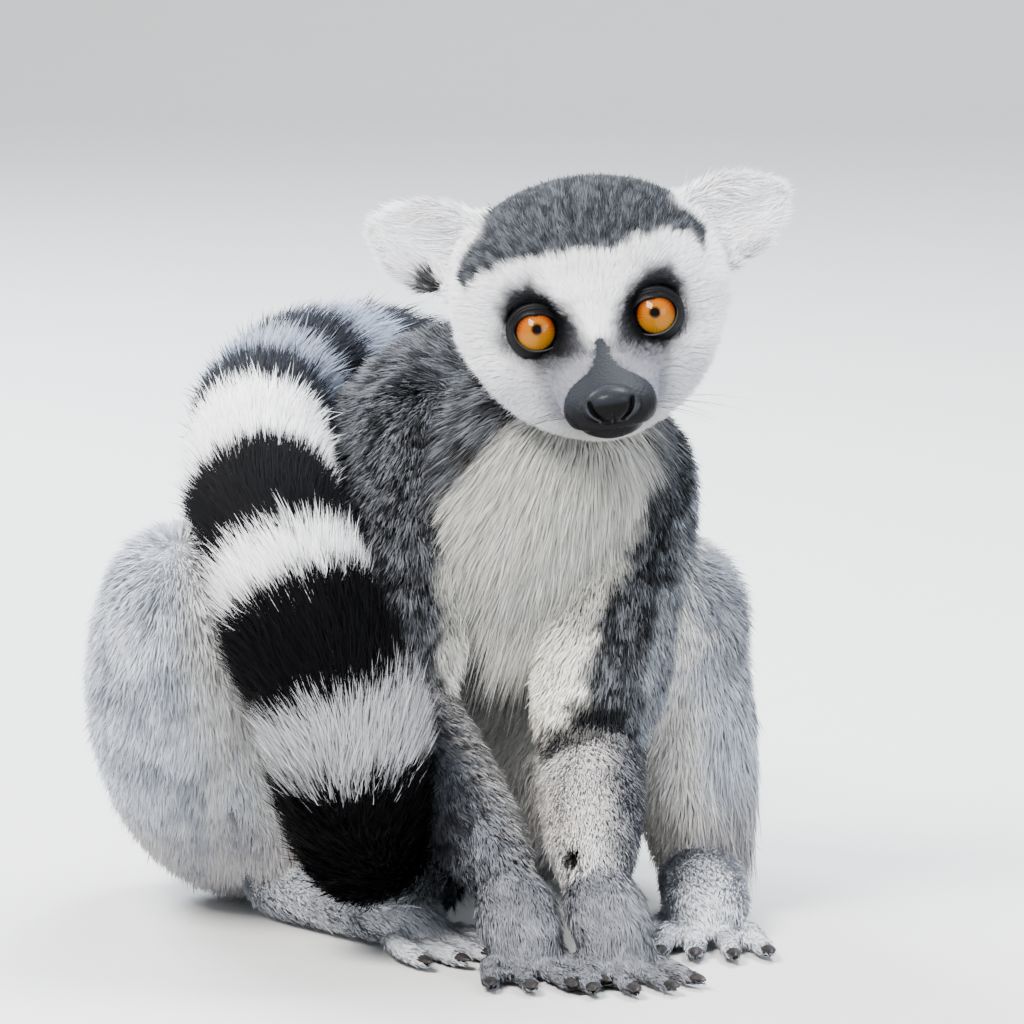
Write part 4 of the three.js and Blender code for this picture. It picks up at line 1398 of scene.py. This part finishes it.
class LEMUR_OT_eyes(bpy.types.Operator):
    """Both globes, with amber rayed irises, small pupils and a wet cornea."""

    bl_idname = "lemur.eyes"
    bl_label = "Eyes"

    def execute(self, context):
        finish = painted("wet eye", 0.3, 0.0006, 0.02, coat=0.3, variation=0.06, specular=0.0,
                         attribute="iris")
        for word, side in SIDES:
            eye = make_eye(word, side, context.scene.lemur_colours.iris)
            finish_piece(eye, "eye", finish, [f"eye_{word}"])
        return {"FINISHED"}


class LEMUR_OT_lids(bpy.types.Operator):
    """The rims, folds and creases of the lids, black and a little wet at the edge, where the lower rim's
    lighter pink-grey is partly painted sheen.
    """

    bl_idname = "lemur.lids"
    bl_label = "Eyelids"

    def execute(self, context):
        finish_piece(make_lids(), "nose", painted("lid skin", 0.45, 0.0007, 0.3, specular=0.10))
        return {"FINISHED"}


class LEMUR_OT_nose(bpy.types.Operator):
    """The bare black nose with its two nostrils and the groove between them."""

    bl_idname = "lemur.nose"
    bl_label = "Nose"

    def execute(self, context):
        leather = painted("nose leather", 0.33, 0.0005, 0.6, coat=0.03, specular=0.05)
        finish_piece(make_nose(), "nose", leather, ["nose"])
        return {"FINISHED"}


class LEMUR_OT_nails(bpy.types.Operator):
    """A nail on every finger and toe, and the long grooming claw of each second toe."""

    bl_idname = "lemur.nails"
    bl_label = "Nails"

    def execute(self, context):
        finish_piece(make_nails(), "digit", painted("nail", 0.35, 0.0015, 0.2, coat=0.06, specular=0.15))
        return {"FINISHED"}


class LEMUR_OT_whiskers(bpy.types.Operator):
    """Whiskers on the pads of the muzzle and over the eyes."""

    bl_idname = "lemur.whiskers"
    bl_label = "Whiskers"

    def execute(self, context):
        finish_piece(make_whiskers(), "face_fur", painted("whisker", 0.4, 0.002, 0.1))
        return {"FINISHED"}


class LEMUR_OT_coat(bpy.types.Operator):
    """The coat: tufts of hair over the whole skin, laid along it and painted with the skin's markings."""

    bl_idname = "lemur.coat"
    bl_label = "Coat"

    def execute(self, context):
        shape = context.scene.lemur_shape
        skin = Skin(made_piece("skin"))
        skin.length = skin.length * shape.hair
        fur = painted("fur", 0.7, 0.0016, 0.0, variation=0.10, specular=0.06)
        for k, (name, slot, where, count, look) in enumerate(coat_plan(skin)):
            weight = where[skin.triangles].mean(axis=1)
            piece = grow(name, skin, weight, int(count * shape.fullness), look, shape.seed * 100 + k)
            finish_piece(piece, slot, fur)
        return {"FINISHED"}


LAMP_AIM = (0.03, -0.03, 0.12)
CAMERA_AIM = np.array([0.047, -0.112, 0.1329])
# Each lamp's name, place and size in metres, strength and colour.
LAMPS = (
    ("key", (-0.9, -1.5, 1.9), 0.9, 195, (1.0, 0.97, 0.93)),
    ("fill", (1.6, -1.5, 0.7), 1.2, 36, (0.9, 0.95, 1.0)),
    ("rim", (-0.9, 1.3, 1.2), 0.8, 95, (0.88, 0.94, 1.0)),
    ("top", (0.5, 0.4, 1.8), 0.8, 75, (0.94, 0.97, 1.0)),
)
FLOOR_STRAIGHT, FLOOR_BEND = 2500, 900  # millimetres: where the floor starts to rise, and its bend's size


def look_at(made, place, aim):
    """Puts a lamp or camera in its place and turns it to its aim."""
    made.location = place
    made.rotation_euler = (Vector(aim) - Vector(place)).to_track_quat("-Z", "Y").to_euler()


class LEMUR_OT_stage(bpy.types.Operator):
    """The pale floor, the soft lamps and the camera."""

    bl_idname = "lemur.stage"
    bl_label = "Stage"

    def execute(self, context):
        stage = context.scene.lemur_stage
        u, v = np.meshgrid(np.linspace(-6000, 6000, 49), np.linspace(-4000, 7000, 45), indexing="ij")
        bend = np.maximum(0, v - FLOOR_STRAIGHT)
        rise = FLOOR_BEND * (np.sqrt(1 + (bend / FLOOR_BEND) ** 2) - 1)
        grid = np.stack([u, np.minimum(v, FLOOR_STRAIGHT) + bend * 0.75, rise], axis=-1)
        floor = new_object("floor", grid.reshape(-1, 3), grid_faces(*u.shape, closed=False))
        count = len(floor.data.vertices)
        set_colours(floor, "paint", np.tile(context.scene.lemur_colours.floor, (count, 1)))
        floor.data.materials.append(painted("floor", 0.85, 0.02, 0.03, variation=0.02))
        world = bpy.data.worlds.new("soft light")
        world.use_nodes = True
        sky = world.node_tree.nodes["Background"].inputs
        sky["Color"].default_value = (0.86, 0.92, 1.0, 1)
        sky["Strength"].default_value = 0.95 * stage.light
        context.scene.world = world
        for name, place, size, energy, colour in LAMPS:
            data = bpy.data.lights.new(name, "AREA")
            data.shape, data.size, data.energy, data.color = "SQUARE", size, energy * stage.light, colour
            look_at(show(name, data), place, LAMP_AIM)
        data = bpy.data.cameras.new("camera")
        data.lens = stage.lens
        data.sensor_width = 36
        data.clip_end = 30
        camera = show("camera", data)
        back = np.array([0, -math.cos(stage.elevation), math.sin(stage.elevation)])
        look_at(camera, tuple(CAMERA_AIM + back * stage.distance), tuple(CAMERA_AIM))
        context.scene.camera = camera
        return {"FINISHED"}


OPERATORS = (LEMUR_OT_stage, LEMUR_OT_skin, LEMUR_OT_eyes, LEMUR_OT_lids, LEMUR_OT_nose, LEMUR_OT_nails,
             LEMUR_OT_whiskers, LEMUR_OT_coat)


class LEMUR_PT_panel(bpy.types.Panel):
    """Lists the settings and the pieces."""

    bl_idname = "LEMUR_PT_panel"
    bl_label = "Lemur"
    bl_space_type = "VIEW_3D"
    bl_region_type = "UI"
    bl_category = "Lemur"

    def draw(self, context):
        for group in (context.scene.lemur_shape, context.scene.lemur_colours, context.scene.lemur_stage):
            box = self.layout.box()
            for key in group.__annotations__:
                box.prop(group, key)
        for operator in OPERATORS:
            self.layout.operator(operator.bl_idname)


CLASSES = (LemurShape, LemurColours, LemurStage) + OPERATORS + (LEMUR_PT_panel,)


def register():
    """Adds the classes and the settings."""
    for cls in CLASSES:
        bpy.utils.register_class(cls)
    bpy.types.Scene.lemur_shape = PointerProperty(type=LemurShape)
    bpy.types.Scene.lemur_colours = PointerProperty(type=LemurColours)
    bpy.types.Scene.lemur_stage = PointerProperty(type=LemurStage)


def unregister():
    """Takes the settings and the classes away again."""
    del bpy.types.Scene.lemur_stage
    del bpy.types.Scene.lemur_colours
    del bpy.types.Scene.lemur_shape
    for cls in reversed(CLASSES):
        bpy.utils.unregister_class(cls)


def main():
    """Builds every piece in order."""
    register()
    for operator in OPERATORS:
        group, name = operator.bl_idname.split(".")
        getattr(getattr(bpy.ops, group), name)()


if __name__ == "__main__":
    main()
